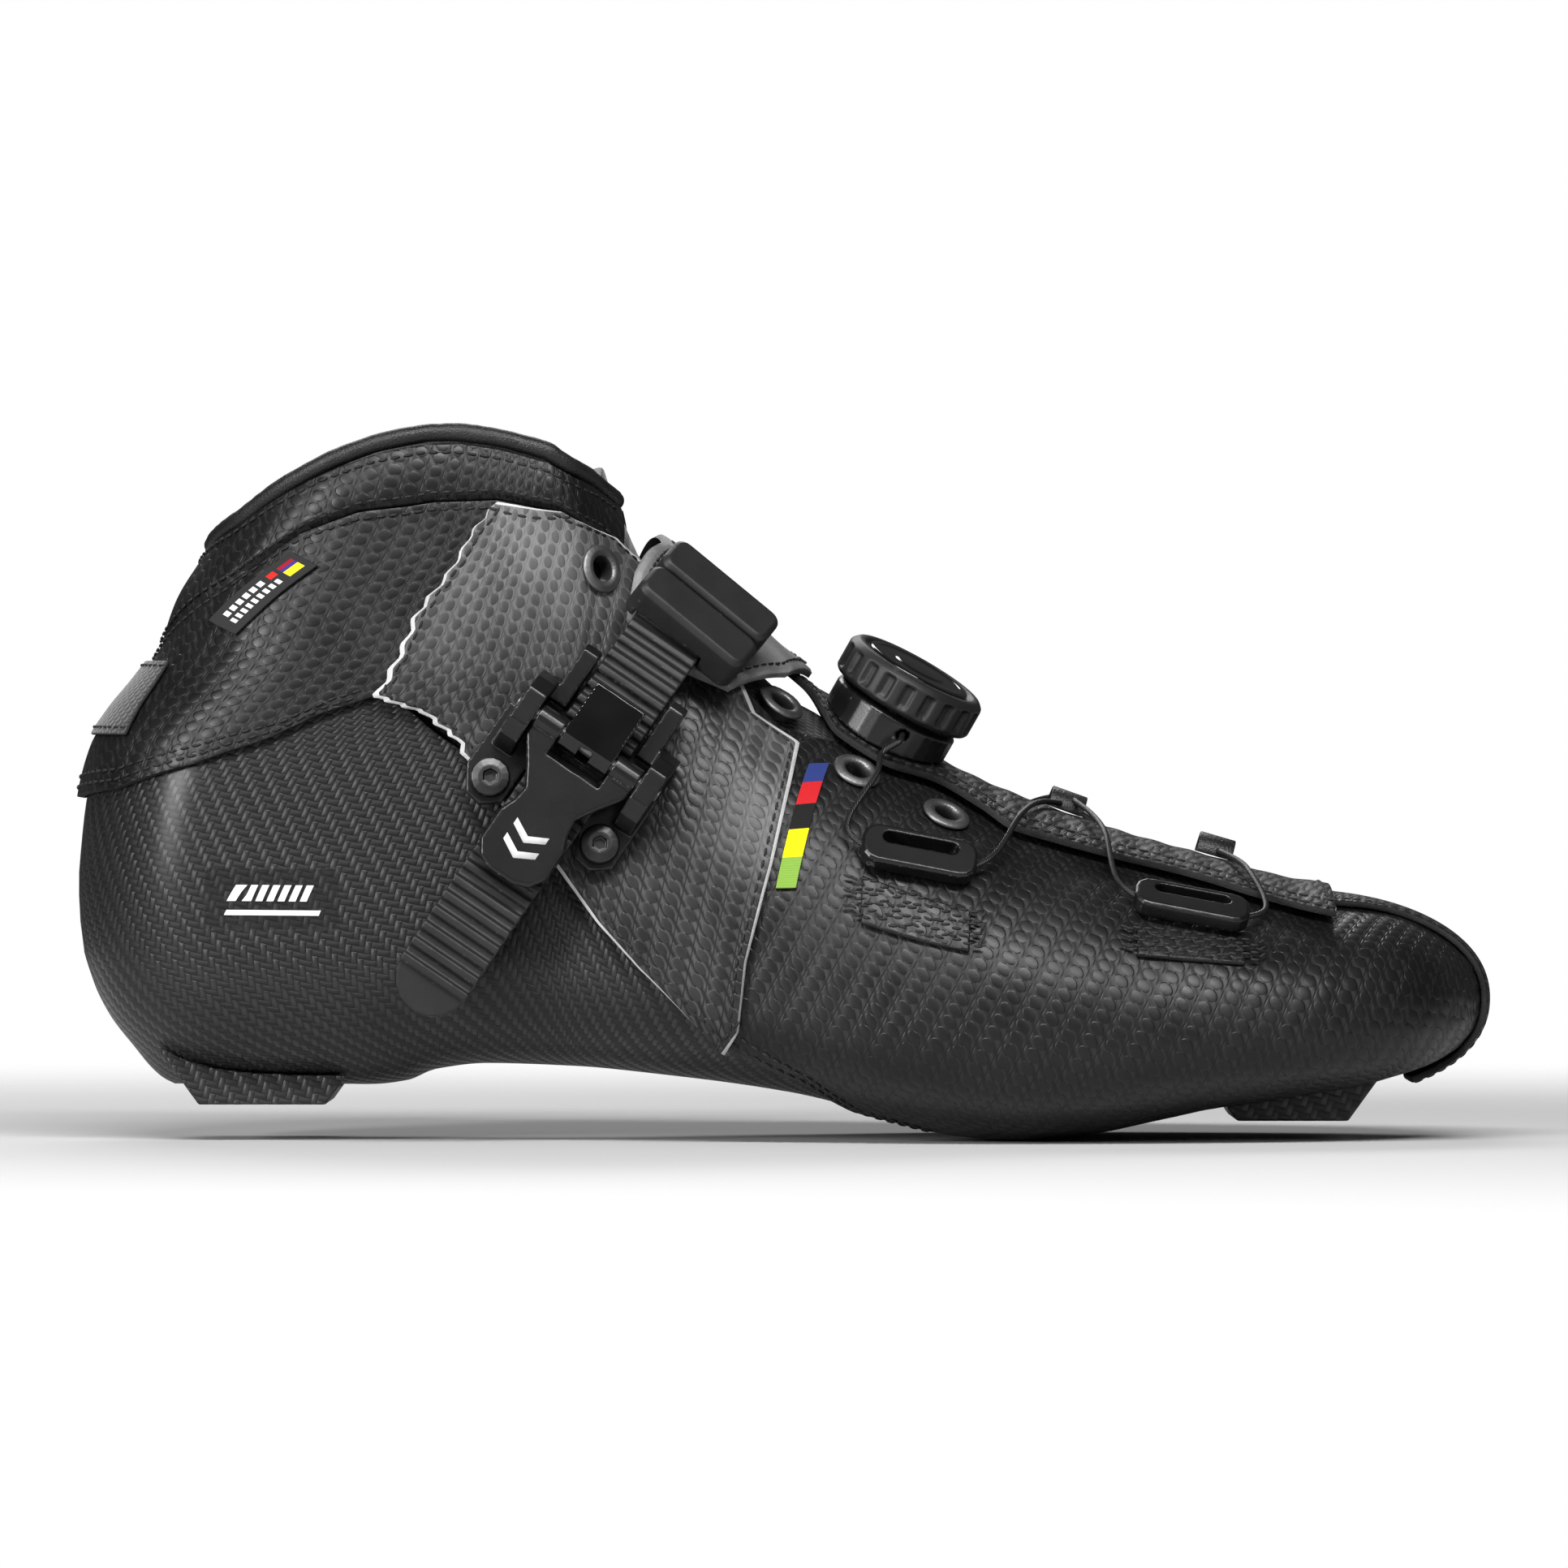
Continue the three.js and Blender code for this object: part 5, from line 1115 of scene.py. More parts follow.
def stitched(name, rows, material="thread", pitch=2.4, length=1.9, width=0.6):
    """One mesh of stitches along rows of (points, normals) in form millimetres."""
    verts, outs, edges = [], [], []
    for points, normals in rows:
        first = len(verts)
        verts += [tuple(p) for p in world(points)]
        outs += [tuple(n) for n in normals]
        edges += [(first + i, first + i + 1) for i in range(len(points) - 1)]
    mesh = bpy.data.meshes.new(name)
    mesh.from_pydata(verts, edges, [])
    attribute = mesh.attributes.new("out", "FLOAT_VECTOR", "POINT")
    attribute.data.foreach_set("vector", np.array(outs, np.float32).ravel())
    made = linked(name, mesh)
    if "Stitch Rows" not in bpy.data.node_groups:
        stitch_tree()
    modifier = made.modifiers.new("Stitches", "NODES")
    modifier.node_group = bpy.data.node_groups["Stitch Rows"]
    set_inputs(modifier, {"Pitch": pitch * MM, "Stitch Length": length * MM, "Thread Width": width * MM,
                          "Material": MATERIALS[material]})
    made.update_tag()
    return smoothed(finished(made))


def edge_row(at, inset, lift, edge="t0", span=(0.01, 0.99), samples=160):
    """A row a steady distance in from one edge of a patch, as points and normals."""
    s = np.linspace(span[0], span[1], samples)[:, None]
    w = np.linspace(0, 1, 60)[None, :]
    w = w if edge.endswith("0") else 1 - w
    a, b = (s + 0 * w, w + 0 * s) if edge[0] == "t" else (w + 0 * s, s + 0 * w)
    points = surface(*at(a, b))
    steps = np.linalg.norm(np.diff(points, axis=1), axis=-1)
    run = np.concatenate([np.zeros((samples, 1)), np.cumsum(steps, axis=1)], axis=1)
    share = np.array([np.interp(inset, run[i], w[0]) for i in range(samples)])
    a, b = (s[:, 0], share) if edge[0] == "t" else (share, s[:, 0])
    side, u, theta = at(a, b)
    return on_surface(side, u, theta, lift + 0 * a), normal_at(side, u, theta)


# ---------------------------------------------------------------- seam lines and patches
LEATHER_EDGE = [(0, 0.49), (0.035, 0.503), (0.092, 0.54), (0.132, 0.569), (0.178, 0.611), (0.223, 0.641)]
COLLAR_SEAM = [(0, 0.7), (0.115, 0.797), (0.166, 0.872), (0.206, 0.904), (0.258, 0.918), (0.303, 0.921),
               (0.343, 0.905), (0.37, 0.87)]
RIM_LINE = [(0, 0.838), (0.121, 0.878), (0.149, 0.92), (0.184, 0.959), (0.218, 0.985), (0.252, 0.999),
            (0.275, 1), (0.303, 0.992), (0.338, 0.973), (0.366, 0.938), (0.384, 0.908)]
COVER_EDGE = [(0.47, 0.72), (0.511, 0.632), (0.537, 0.562), (0.569, 0.52), (0.612, 0.488), (0.64, 0.454),
              (0.664, 0.422), (0.725, 0.386), (0.769, 0.364), (0.83, 0.328), (0.893, 0.296)]
SHELL_TOP = [(0, 0.555), (0.05, 0.575), (0.092, 0.605), (0.15, 0.64), (0.2, 0.655), (0.27, 0.57),
             (0.34, 0.43), (0.42, 0.32), (0.52, 0.25), (0.65, 0.215), {"x": 0.8, "theta": 14},
             {"x": 0.95, "theta": 14}]
LINER_TOP = [(0, 0.687), (0.115, 0.783), (0.166, 0.858), (0.206, 0.89), (0.258, 0.904), (0.303, 0.907),
             (0.343, 0.885), (0.365, 0.83), {"x": 0.41, "theta": 46}, {"x": 0.83, "theta": 46},
             {"x": 0.87, "theta": 82}, {"x": 0.95, "theta": 82}]
QUARTER_LOWER = LEATHER_EDGE + [(0.275, 0.59), (0.306, 0.51), (0.349, 0.42), (0.39, 0.312)]
COLLAR_LOW = COLLAR_SEAM[:-1] + [(0.371, 0.869), (0.386, 0.838)]
QUARTER_UPPER = [(x, z - 0.003) for x, z in COLLAR_SEAM] + [(0.392, 0.825), (0.425, 0.755), (0.459, 0.672)]
VAMP_LOWER = [(0.394, 0.307), (0.429, 0.222), (0.471, 0.134), (0.52, 0.088), (0.554, 0.05),
              {"x": 0.61, "theta": -72}, {"x": 0.74, "theta": -66}, {"x": 0.8, "theta": -57},
              {"x": 0.94, "theta": -57}, {"x": 0.998, "theta": -60}]
VAMP_UPPER = [(0.464, 0.665), (0.5, 0.585), {"x": 0.56, "theta": 68}, {"x": 0.66, "theta": 76},
              {"x": 0.8, "theta": 80}, {"x": 0.88, "theta": 87}, {"x": 0.998, "theta": 87}]
ANCHOR_REAR = [(0.303, 0.915), (0.286, 0.872), (0.266, 0.803), (0.246, 0.752), (0.235, 0.7), (0.217, 0.634),
               (0.252, 0.611), (0.275, 0.574), (0.292, 0.515), (0.338, 0.414), (0.375, 0.311), (0.406, 0.243),
               (0.466, 0.136)]
ANCHOR_FRONT = [(0.345, 0.9), (0.378, 0.86), (0.434, 0.757), (0.463, 0.672), (0.48, 0.6), (0.512, 0.556),
                (0.508, 0.506), (0.497, 0.391), (0.48, 0.254), (0.475, 0.16)]
EYELETS = [(0.366, 0.815), (0.499, 0.617), (0.554, 0.517), (0.617, 0.454)]
GUIDES = (("rear", (0.597, 0.391), (0.7, 0.345)), ("front", (0.789, 0.311), (0.86, 0.28)))
OVERLAY_OUTER = SKIN + 1.6


def over_places(places):
    return [{"u": u, "theta": 180 - theta} for u, theta in map(place_of, places)]


STRAP_REAR = [(0.384, 0.735), (0.386, 0.803), (0.408, 0.85), {"x": 0.413, "theta": 90}] + over_places(
    [(0.4, 0.85), (0.375, 0.74), (0.345, 0.63)])
STRAP_FRONT = [(0.458, 0.622), (0.495, 0.637), (0.512, 0.665), {"x": 0.513, "theta": 90}] + over_places(
    [(0.505, 0.675), (0.45, 0.58), (0.395, 0.51)])


def creases(side, u, theta, size):
    """Shallow folds and dents of worn leather, in millimetres."""
    a = np.sin(u * 0.19 + theta * 0.11 + side) * np.sin(u * 0.07 - theta * 0.17)
    b = np.sin(u * 0.43 - theta * 0.23 + 2 * side) * 0.5
    flex = np.exp(-((u - 118 - 0.25 * theta) / 16) ** 2) * np.sin(u * 0.62 + theta * 0.1)
    return size * (a + 0.5 * b + 0.9 * flex)


def pinked(at, depth, pitch, length=110.0):
    """The same patch with its rear edge, of about that length, cut in small waves over the upper half."""
    def waved(s, t):
        side, u, theta = at(s, t)
        wave = np.abs(((s * length / pitch) % 1) * 2 - 1) - 0.5
        fade = smooth((0.52 - s) / 0.06) * (1 - t) ** 6
        return side, u + depth * wave * fade, theta

    return waved


PATCHES = {}


def build_patches():
    for side, word in SIDES:
        PATCHES["quarter_" + word] = ruled_level(side, QUARTER_LOWER, QUARTER_UPPER, True)
        PATCHES["vamp_" + word] = ruled(side, VAMP_LOWER, VAMP_UPPER)
        PATCHES["anchor_" + word] = pinked(ruled_level(side, ANCHOR_REAR, ANCHOR_FRONT), 1.5, 3.6)
    PATCHES["collar"] = wrapped(COLLAR_LOW, RIM_LINE)
    PATCHES["achilles"] = wrapped([(0, 0.575), (0.045, 0.575)], [(0, 0.68), (0.075, 0.68)])
    PATCHES["cover"] = band(u_of(0.474), u_of(0.893), level_of(COVER_EDGE))
    PATCHES["tongue"] = band(u_of(0.372), u_of(0.81), lambda u: 53 + 0 * u)
    PATCHES["strap"] = ruled(LATERAL, STRAP_REAR, STRAP_FRONT)


def settle(piece, nodes, slot, body="root"):
    """Puts a finished piece on its body in place of the frame nodes it stands for."""
    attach(piece, body)
    if nodes:
        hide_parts(*nodes)
    return piece


def eyelet_frame(side, place):
    return frame_on(side, place, (0.9, 0.3), 0)


def guide_frame(side, place, ahead):
    return frame_on(side, place, ahead, SKIN + GAP)


# ---------------------------------------------------------------- the pieces
def box_pattern(piece):
    """Pattern coordinates laid flat on each face from the side it faces most."""
    layer = piece.data.uv_layers.get("pattern") or piece.data.uv_layers.new(name="pattern")
    for face in piece.data.polygons:
        n = [abs(v) for v in face.normal]
        a, b = ((1, 2), (0, 2), (0, 1))[n.index(max(n))]
        for corner in face.loop_indices:
            place = piece.data.vertices[piece.data.loops[corner].vertex_index].co
            layer.data[corner].uv = (place[a] * 0.97 - place[b] * 0.24, place[a] * 0.24 + place[b] * 0.97)


def make_cup():
    level = level_of(SHELL_TOP)
    materials = ["carbon_twill", "backing", "carbon_fine"]
    shell = sheet_of("carbon_cup", bowl(U_BACK, U_TIP - 3, level), 150, 96, CUP_OUTER, CUP_INNER, materials,
                     turn=14, zipped=True, bevel=0.5)
    settle(shell, ["carbon_shell"], "carbon")
    for word in ("heel", "toe"):
        pad = moulded(word + "_mount_pad", word + "_pad", ["carbon_fine"], 0.3, 3)
        box_pattern(pad)
        settle(pad, [word + "_mount_pad"], "carbon")
        x = HEEL_MOUNT + (MOUNT_SPACING if word == "toe" else 0)
        low = (0.046 if word == "heel" else 0.022) * FORM_HEIGHT
        matrix = np.eye(4)
        matrix[:3, 3] = (x, float(middle_line(x)), 0)
        start = (INSERT_BORE, low + 0.4)
        thread = [(INSERT_BORE + 0.25 * (i % 2), low + 0.75 + 0.5 * i) for i in range(9)]
        ring = [start, (INSERT_RADIUS, low + 0.4), (INSERT_RADIUS, low + INSERT_HEIGHT),
                (INSERT_BORE, low + INSERT_HEIGHT), *thread[::-1], start]
        insert = revolved(word + "_thread_insert", ring, matrix, 48, ["steel"])
        settle(insert, [word + "_insert"], "steel")


def make_lining():
    def swollen(s, t, u, theta):
        quilt = 0.35 * np.sin(u * 0.34) * np.sin(theta * 0.16)
        lip = 0.8 * smooth((0.06 - np.minimum(t, 1 - t)) / 0.06)
        return LINER_INNER - 0.2 + quilt + lip

    inside = bowl(U_BACK, U_TIP - 6, level_of(LINER_TOP))
    liner = sheet_of("foam_liner", inside, 130, 80, LINER_OUTER, swollen, ["lining_knit"] * 3,
                     zipped=True, bevel=0.9)
    settle(liner, ["liner"], "lining")

    def bed(s, t):
        theta = -90 + 45 * np.abs(2 * t - 1)
        start = U_BACK + 12
        return np.where(t < 0.5, LATERAL, MEDIAL), start + (u_of(0.9) - start) * s, theta

    insole = sheet_of("foot_bed", bed, 90, 30, LINER_INNER - 1.1, LINER_INNER - 3.7, ["foot_bed"] * 3,
                      bevel=0.6)
    settle(insole, ["insole"], "lining")

    def full(s, t, u, theta):
        return -0.7 + 0.5 * np.sin(math.pi * t) ** 2 + 0.25 * np.sin(u * 0.5)

    tongue = sheet_of("padded_tongue", PATCHES["tongue"], 90, 44, full, -4.4,
                      ["collar_mesh", "lining_knit", "grey_leather"], bevel=0.9)
    settle(tongue, ["tongue"], "lining")

    def collar_out(s, t, u, theta):
        pinch = 0.9 * smooth((0.16 - t) / 0.16)
        return SKIN - pinch + 0.55 * np.sin(math.pi * t) + creases(1, u, theta, 0.08)

    def collar_in(s, t, u, theta):
        ends = smooth((np.abs(2 * s - 1) - 0.7) / 0.18)
        return -5.2 + (GAP + 5.2) * ends - 0.9 * np.sin(math.pi * t) * (1 - ends)

    collar = sheet_of("padded_collar", PATCHES["collar"], 150, 26, collar_out, collar_in,
                      ["pressed_leather", "lining_knit", "dark_edge"], turn=4,
                      bevel=0.6)
    settle(collar, ["collar"], "lining")


def make_upper():
    for side, word in SIDES:
        holes = [(eyelet_frame(side, p), EYELET_HOLE) for p in EYELETS]
        hard = ["pressed_leather", "backing", "dark_edge"]
        for kind, cols, rows, turn, cut in (
                ("quarter", 110, 60, 3, holes[:1]), ("vamp", 130, 66, 28, holes[1:])):
            def outside(s, t, u, theta, side=side):
                return SKIN - 0.1 + creases(side, u, theta, 0.12)
            node = f"{kind}_{word}"
            piece = sheet_of(f"{kind}_panel_{word}", PATCHES[node], cols, rows, outside, 0.05, hard,
                             turn=turn * -side, holes=cut)
            settle(piece, [node], "leather")
        pale = ["overlay_leather", "backing", "cut_edge"]

        def over(s, t, u, theta, side=side):
            return OVERLAY_OUTER + creases(side, u, theta, 0.07)
        anchor = sheet_of("overlay_" + word, PATCHES["anchor_" + word], 190, 60, over, SKIN + 0.1, pale,
                          turn=12 * -side, holes=holes[:1], bevel=0.15, frayed=True)
        settle(anchor, ["anchor_" + word], "leather")
        for where, place, _ in GUIDES:
            u, theta = place_of(place)

            def tab(s, t, u=u, theta=theta, side=side):
                return side + 0 * s, u - TAB_LENGTH / 2 + TAB_LENGTH * s, theta - TAB_START - TAB_WIDTH * t
            flap = sheet_of(f"guide_flap_{where}_{word}", tab, 30, 16, SKIN + 1.1, SKIN + 0.1, hard,
                            turn=30, bevel=0.3)
            settle(flap, [f"guide_tab_{where}_{word}"], "leather")
    mesh_patch = sheet_of("heel_mesh", PATCHES["achilles"], 60, 30, SKIN + 0.9, SKIN + 0.1,
                          ["grey_mesh", "backing", "dark_edge"])
    settle(mesh_patch, ["achilles_patch"], "grey_leather")

    def ribs(s, t, u, theta):
        return COVER_OUTER - 0.1 + 0.1 * np.sin(u * 0.9) * smooth(np.minimum(t, 1 - t) / 0.16)

    cover = sheet_of("ribbed_cover", PATCHES["cover"], 150, 80, ribs, 3.2,
                     ["ribbed_leather", "backing", "dark_edge"], turn=24)
    settle(cover, ["lace_cover"], "leather")
    settle(toe_strip(), ["toe_strip"], "leather")
    path = path_of(RIM_LINE, True)
    s = np.abs(np.linspace(-1, 1, 161))
    side = np.where(np.linspace(-1, 1, 161) < 0, LATERAL, MEDIAL)
    u, z = path(s)
    line = on_surface(side, u, theta_at(u, z), SKIN - 1.7 + 0 * s) + np.array([0, 0, 2.4])
    line[1:-1] = (line[:-2] + 2 * line[1:-1] + line[2:]) / 4

    def puckers(run, angle):
        waves = 0.035 * np.sin(run * 1.9 + 2 * np.sin(run * 0.31)) * np.cos(angle)
        return 1 + waves + 0.02 * np.sin(run * 0.5)

    binding = tube("rim_binding", line, 1.75, 24, ["plain_leather"], puckers)
    settle(binding, ["collar_binding"], "leather")


def nose_at(alpha, v):
    """Where a line of slope alpha, v across, leaves the form near the toe."""
    alpha, v = floats(alpha, v)
    start = np.stack([0.875 * FORM_LENGTH + 0 * v, float(middle_line(0.97 * FORM_LENGTH)) + v,
                      TOE_LEVEL * FORM_HEIGHT + 0 * v], -1)
    along = np.stack([np.cos(alpha * DEG), 0 * alpha, np.sin(alpha * DEG)], -1)
    near, far = np.zeros(alpha.shape), np.full(alpha.shape, 60.0)
    for _ in range(36):
        r = (near + far) / 2
        x, y, z = np.moveaxis(start + along * r[..., None], -1, 0)
        low, mid, top = section(np.minimum(x, FORM_LENGTH))
        below = z < mid
        t = np.where(below, (mid - z) / (mid - low + 1e-9), (z - mid) / (top - mid + 1e-9))
        rounded = np.where(below, SOLE_ROUND, CREST_ROUND)
        reach = np.clip((x - TOE_START) / (FORM_LENGTH - TOE_START), 0, 1)
        plan = power(1 - reach ** TOE_ROUND, 1 / TOE_ROUND)
        shift = middle_line(x) + np.where(~below, ridge_line(x) * np.clip(t, 0, 1) ** 2, 0)
        half = half_width_line(x) * plan * power(1 - np.clip(t, 0, 1) ** rounded, 1 / rounded)
        inside = (x < FORM_LENGTH) & (t < 1) & (np.abs(y - shift) < half)
        near, far = np.where(inside, r, near), np.where(inside, far, r)
    return start + along * near[..., None]


def nose_frame(s, t):
    half = curve([(-34, 12), (0, 10), (35, 12), (82, 19)])
    alpha = 82 - 116 * s
    v = half(alpha) * (2 * t - 1)
    a = nose_at(alpha + 0.5, v) - nose_at(alpha - 0.5, v)
    b = nose_at(alpha, v + 0.3) - nose_at(alpha, v - 0.3)
    n = np.cross(b, a)
    n /= np.maximum(np.linalg.norm(n, axis=-1, keepdims=True), 1e-12)
    return nose_at(alpha, v), n, alpha, v


def toe_strip():
    cols, rows = 90, 40
    s, t = np.meshgrid(np.linspace(0, 1, cols + 1), np.linspace(0, 1, rows + 1), indexing="ij")
    points, normals, alpha, v = nose_frame(s, t)
    verts = np.concatenate([(points + normals * k).reshape(-1, 3) for k in (SKIN + 1.3, SKIN + 0.1)])
    pattern = np.stack([alpha * 0.6, v], -1).reshape(-1, 2) * MM
    faces, low, walls = layer_faces(cols, rows)
    kinds = [0] * (len(faces) - low - walls) + [1] * low + [2] * walls
    piece = mesh_object("toe_guard", world(verts), faces, ["ribbed_leather", "backing", "dark_edge"], kinds,
                        np.concatenate([pattern] * 2))
    return rounded_edges(piece, 0.35)


ON_SKIN, ON_COVER, ON_COLLAR = SKIN + 0.05, COVER_OUTER - 0.05, SKIN + 0.35
# Each seam: its patch, its distance in from the edge, its height, its edge, the stretch of it and its points.
SIDE_SEAMS = [("quarter", 1.6, ON_SKIN, "t0", (0, 0.46)), ("quarter", 3.6, ON_SKIN, "t0", (0, 0.46)),
              ("quarter", 1.4, ON_SKIN, "t1", (0, 0.74)), ("vamp", 1.5, ON_SKIN, "t0", (0.0, 0.45)),
              ("vamp", 3.6, ON_SKIN, "t0", (0.0, 0.45)), ("vamp", 1.6, ON_SKIN, "s0", (0.03, 0.97))]
SIDE_SEAMS += [("anchor", 1.9, OVERLAY_OUTER, edge, (0.02, 0.98)) for edge in ("t0", "t1")]
SIDE_SEAMS += [("anchor", 1.9, OVERLAY_OUTER, edge, (0.06, 0.94), 60) for edge in ("s0", "s1")]
MIDDLE_SEAMS = [("collar", 1.6, ON_COLLAR, "t0", (0.01, 0.99), 240),
                ("collar", 1.7, ON_COLLAR + 0.05, "t1", (0.01, 0.99), 240)]
for inset in (1.6, 5.4):
    MIDDLE_SEAMS += [("cover", inset, ON_COVER, edge, (0.01, 0.99)) for edge in ("t0", "t1")]
MIDDLE_SEAMS += [("cover", 1.8, ON_COVER, edge, (0.03, 0.97)) for edge in ("s1", "s0")]
MIDDLE_SEAMS += [("achilles", 1.3, SKIN + 0.95, edge, (0.03, 0.97)) for edge in ("t0", "t1")]


def make_stitching():
    rows = []
    for side, word in SIDES:
        rows += [edge_row(PATCHES[f"{kind}_{word}"], *seam) for kind, *seam in SIDE_SEAMS]
        for _, place, _ in GUIDES:
            u, theta = place_of(place)
            s = np.linspace(0, 1, 60)
            zigzag = 1.1 * np.sign(np.sin(s * 70))
            for k in range(3):
                along = (side + 0 * s, u - 12.5 + 25 * s, theta - 10.5 - 3 * k + zigzag)
                rows.append((on_surface(*along, SKIN + 1.15 + 0 * s), normal_at(*along)))
    rows += [edge_row(PATCHES[kind], *seam) for kind, *seam in MIDDLE_SEAMS]
    for t in (0.07, 0.93):
        s = np.linspace(0.02, 0.98, 160)
        points, normals, _, _ = nose_frame(s, t + 0 * s)
        rows.append((points + normals * (SKIN + 1.3), normals))
    stitches = stitched("upper_stitching", rows)
    settle(stitches, [], "leather")


def make_eyelets():
    for side, word in SIDES:
        for i, place in enumerate(EYELETS):
            z = (SKIN + 1.95 if i == 0 else SKIN) + GAP - 0.1
            ring = fillet([(EYELET_BORE, z - 2.4), (2.95, z - 2.4), (2.95, z), (4.7, z), (4.6, z + 0.6),
                           (3.4, z + 1.0), (2.5, z + 0.7), (EYELET_BORE, z - 2.4)], 0.35)

            def stamped(angle, r, height, z=z):
                return r + np.where(height > z + 0.5, 0.05 * np.sin(angle * 24), 0)
            name = f"eyelet_ring_{word}_{i + 1}"
            ring = revolved(name, ring, eyelet_frame(side, place), 72, ["steel"], stamped)
            settle(ring, [f"eyelet_{word}_{i + 1}"], "steel")


def make_guides():
    for _, word in SIDES:
        for where, _, _ in GUIDES:
            node = f"lace_guide_{where}_{word}"
            guide = moulded(node, "wire_guide_" + where + "_" + word, ["satin_plastic"], 0.18, 4)
            settle(guide, [node], "plastic")
    turn = np.linspace(0, math.pi, 25)
    outer = [(4.6 * math.cos(a), 3.9 * math.sin(a) ** 0.85 - 0.3) for a in turn]
    inner = [(3.7 * math.cos(a), 3.1 * math.sin(a) ** 0.85 - 0.3) for a in turn[::-1]]
    upright = np.array([[0, 0, 1, 0], [1, 0, 0, 0], [0, 1, 0, 0], [0, 0, 0, 1]], float)
    for where, x in LOOPS:
        matrix = crest_frame(u_of(x), COVER_OUTER + GAP) @ upright
        loop = prism("wire_loop_" + where, outer + inner, -3.5, 3.5, matrix, ["plain_leather"], 0.2, 2)
        settle(loop, ["lace_loop_" + where], "leather")


def lace_at(side, x, z, offset):
    return on_surface(side, *place_of((x, z)), offset)


def make_lace():
    over = COVER_OUTER + GAP + LACE_RADIUS
    loops = {word: crest_frame(u_of(x), COVER_OUTER + GAP) for word, x in LOOPS}

    def local(matrix, *points):
        return [place_points(matrix, np.array(p, float)) for p in points]

    def channel(side, name):
        _, place, ahead = GUIDES[0] if name == "rear" else GUIDES[1]
        down = -1 if side == LATERAL else 1
        points = [(-14, -3.2), (-10.5, 0.4), (-6, 1.8), (6, 1.8), (10.5, 0.4), (14, -3.2)]
        return local(guide_frame(side, place, ahead), *[(x, down * y, 2) for x, y in points])

    def leave(s):
        return local(DIAL, (3, s * 10.2, 3), (3, s * 12.6, 2.6), (3, s * 15.4, 2))

    route = leave(-1)
    route += [lace_at(LATERAL, 0.566, 0.52, over + 0.5), lace_at(LATERAL, 0.564, 0.495, over + 0.5)]
    route += channel(LATERAL, "rear")
    route += [lace_at(LATERAL, 0.665, 0.425, over + 0.8), lace_at(LATERAL, 0.68, 0.445, over + 0.2)]
    route += local(loops["rear"], (-1.6, -5, 0.75), (0, 0, 0.8), (1.6, 5, 0.75))
    route += [lace_at(MEDIAL, 0.725, 0.4, over + 0.9)] + channel(MEDIAL, "front")
    route += [lace_at(MEDIAL, 0.828, 0.345, over + 0.6)]
    route += local(loops["front"], (0.8, 5, 0.8), (0, 0, 0.9), (0.8, -5, 0.8))
    route += [lace_at(LATERAL, 0.828, 0.345, over + 0.6)] + channel(LATERAL, "front")[::-1]
    route += [lace_at(LATERAL, 0.725, 0.4, over + 0.9)]
    route += local(loops["rear"], (1.6, -5, 2), (0, 0, 2.2), (-1.6, 5, 2))
    route += [lace_at(MEDIAL, 0.68, 0.445, over + 0.4), lace_at(MEDIAL, 0.665, 0.425, over + 0.8)]
    route += channel(MEDIAL, "rear")[::-1]
    route += [lace_at(MEDIAL, 0.564, 0.5, over + 0.5), lace_at(MEDIAL, 0.571, 0.55, over + 0.6)]
    route += leave(1)[::-1]
    lace = tube("wire_lace", catmull(route, 14), LACE_RADIUS, 12, ["wire_lace"])
    settle(lace, ["lace"], "wire")


def make_dial():
    k0, kr = DIAL_BASE_TOP + KNOB_GAP, KNOB_RADIUS
    kt = k0 + KNOB_HEIGHT
    base = moulded("dial_base", "dial_housing", ["satin_plastic"], 0.25, 4)
    settle(base, ["dial_base"], "plastic")
    profile = fillet([(2.3, k0 + 2.2), (kr - 2.2, k0 + 2.2), (kr - 2.2, k0), (kr - 0.7, k0), (kr, k0 + 0.8),
                      (kr, kt - 1.2), (kr - 1.2, kt), (kr - 2.6, kt), (kr - 3.2, kt - 0.8), (4.2, kt - 0.8),
                      (4.2, k0 + 3.5), (2.3, k0 + 3.5), (2.3, k0 + 2.2)], 0.5)
    walls = []
    for a, b in zip(profile[:-1], profile[1:]):
        steps = max(1, int(abs(b[1] - a[1]) / 0.5)) if min(a[0], b[0]) > kr - 0.9 else 1
        walls += [a + (b - a) * i / steps for i in range(steps)]
    walls.append(profile[-1])

    def grips(angle, r, z):
        wave = np.cos(angle * KNOB_GRIPS)
        depth = smooth((wave + 0.15) / 0.5) * smooth((z - k0 - 1.1) / 0.5) * smooth((kt - 1.3 - z) / 0.5)
        return r - 0.85 * depth * (r > kr - 0.9)

    knob = revolved("dial_grip_ring", walls, DIAL, 240, ["rubber"], grips)
    settle(knob, ["dial_knob"], "rubber", "dial_grip")
    cap_profile = fillet([(0, kt - 0.45), (kr - 3.6, kt - 0.45), (kr - 3.8, kt + 0.1), (kr - 5, kt + 0.24),
                          (kr - 5.6, kt), (5.4, kt), (4.8, kt + 0.3), (0, kt + 0.3)], 0.3)
    cap = revolved("dial_top", cap_profile, DIAL, 96, ["gloss_plastic"])
    settle(cap, ["dial_cap"], "gloss", "dial_grip")
    dress("dial_pawl_ring", "alloy")
    dress("dial_spool", "satin_plastic")
    dress("dial_screw", "steel")


def dress(node, finish):
    """Gives a frame node its finish."""
    mesh = frame["nodes"][node].data
    mesh.materials.clear()
    mesh.materials.append(MATERIALS[finish])


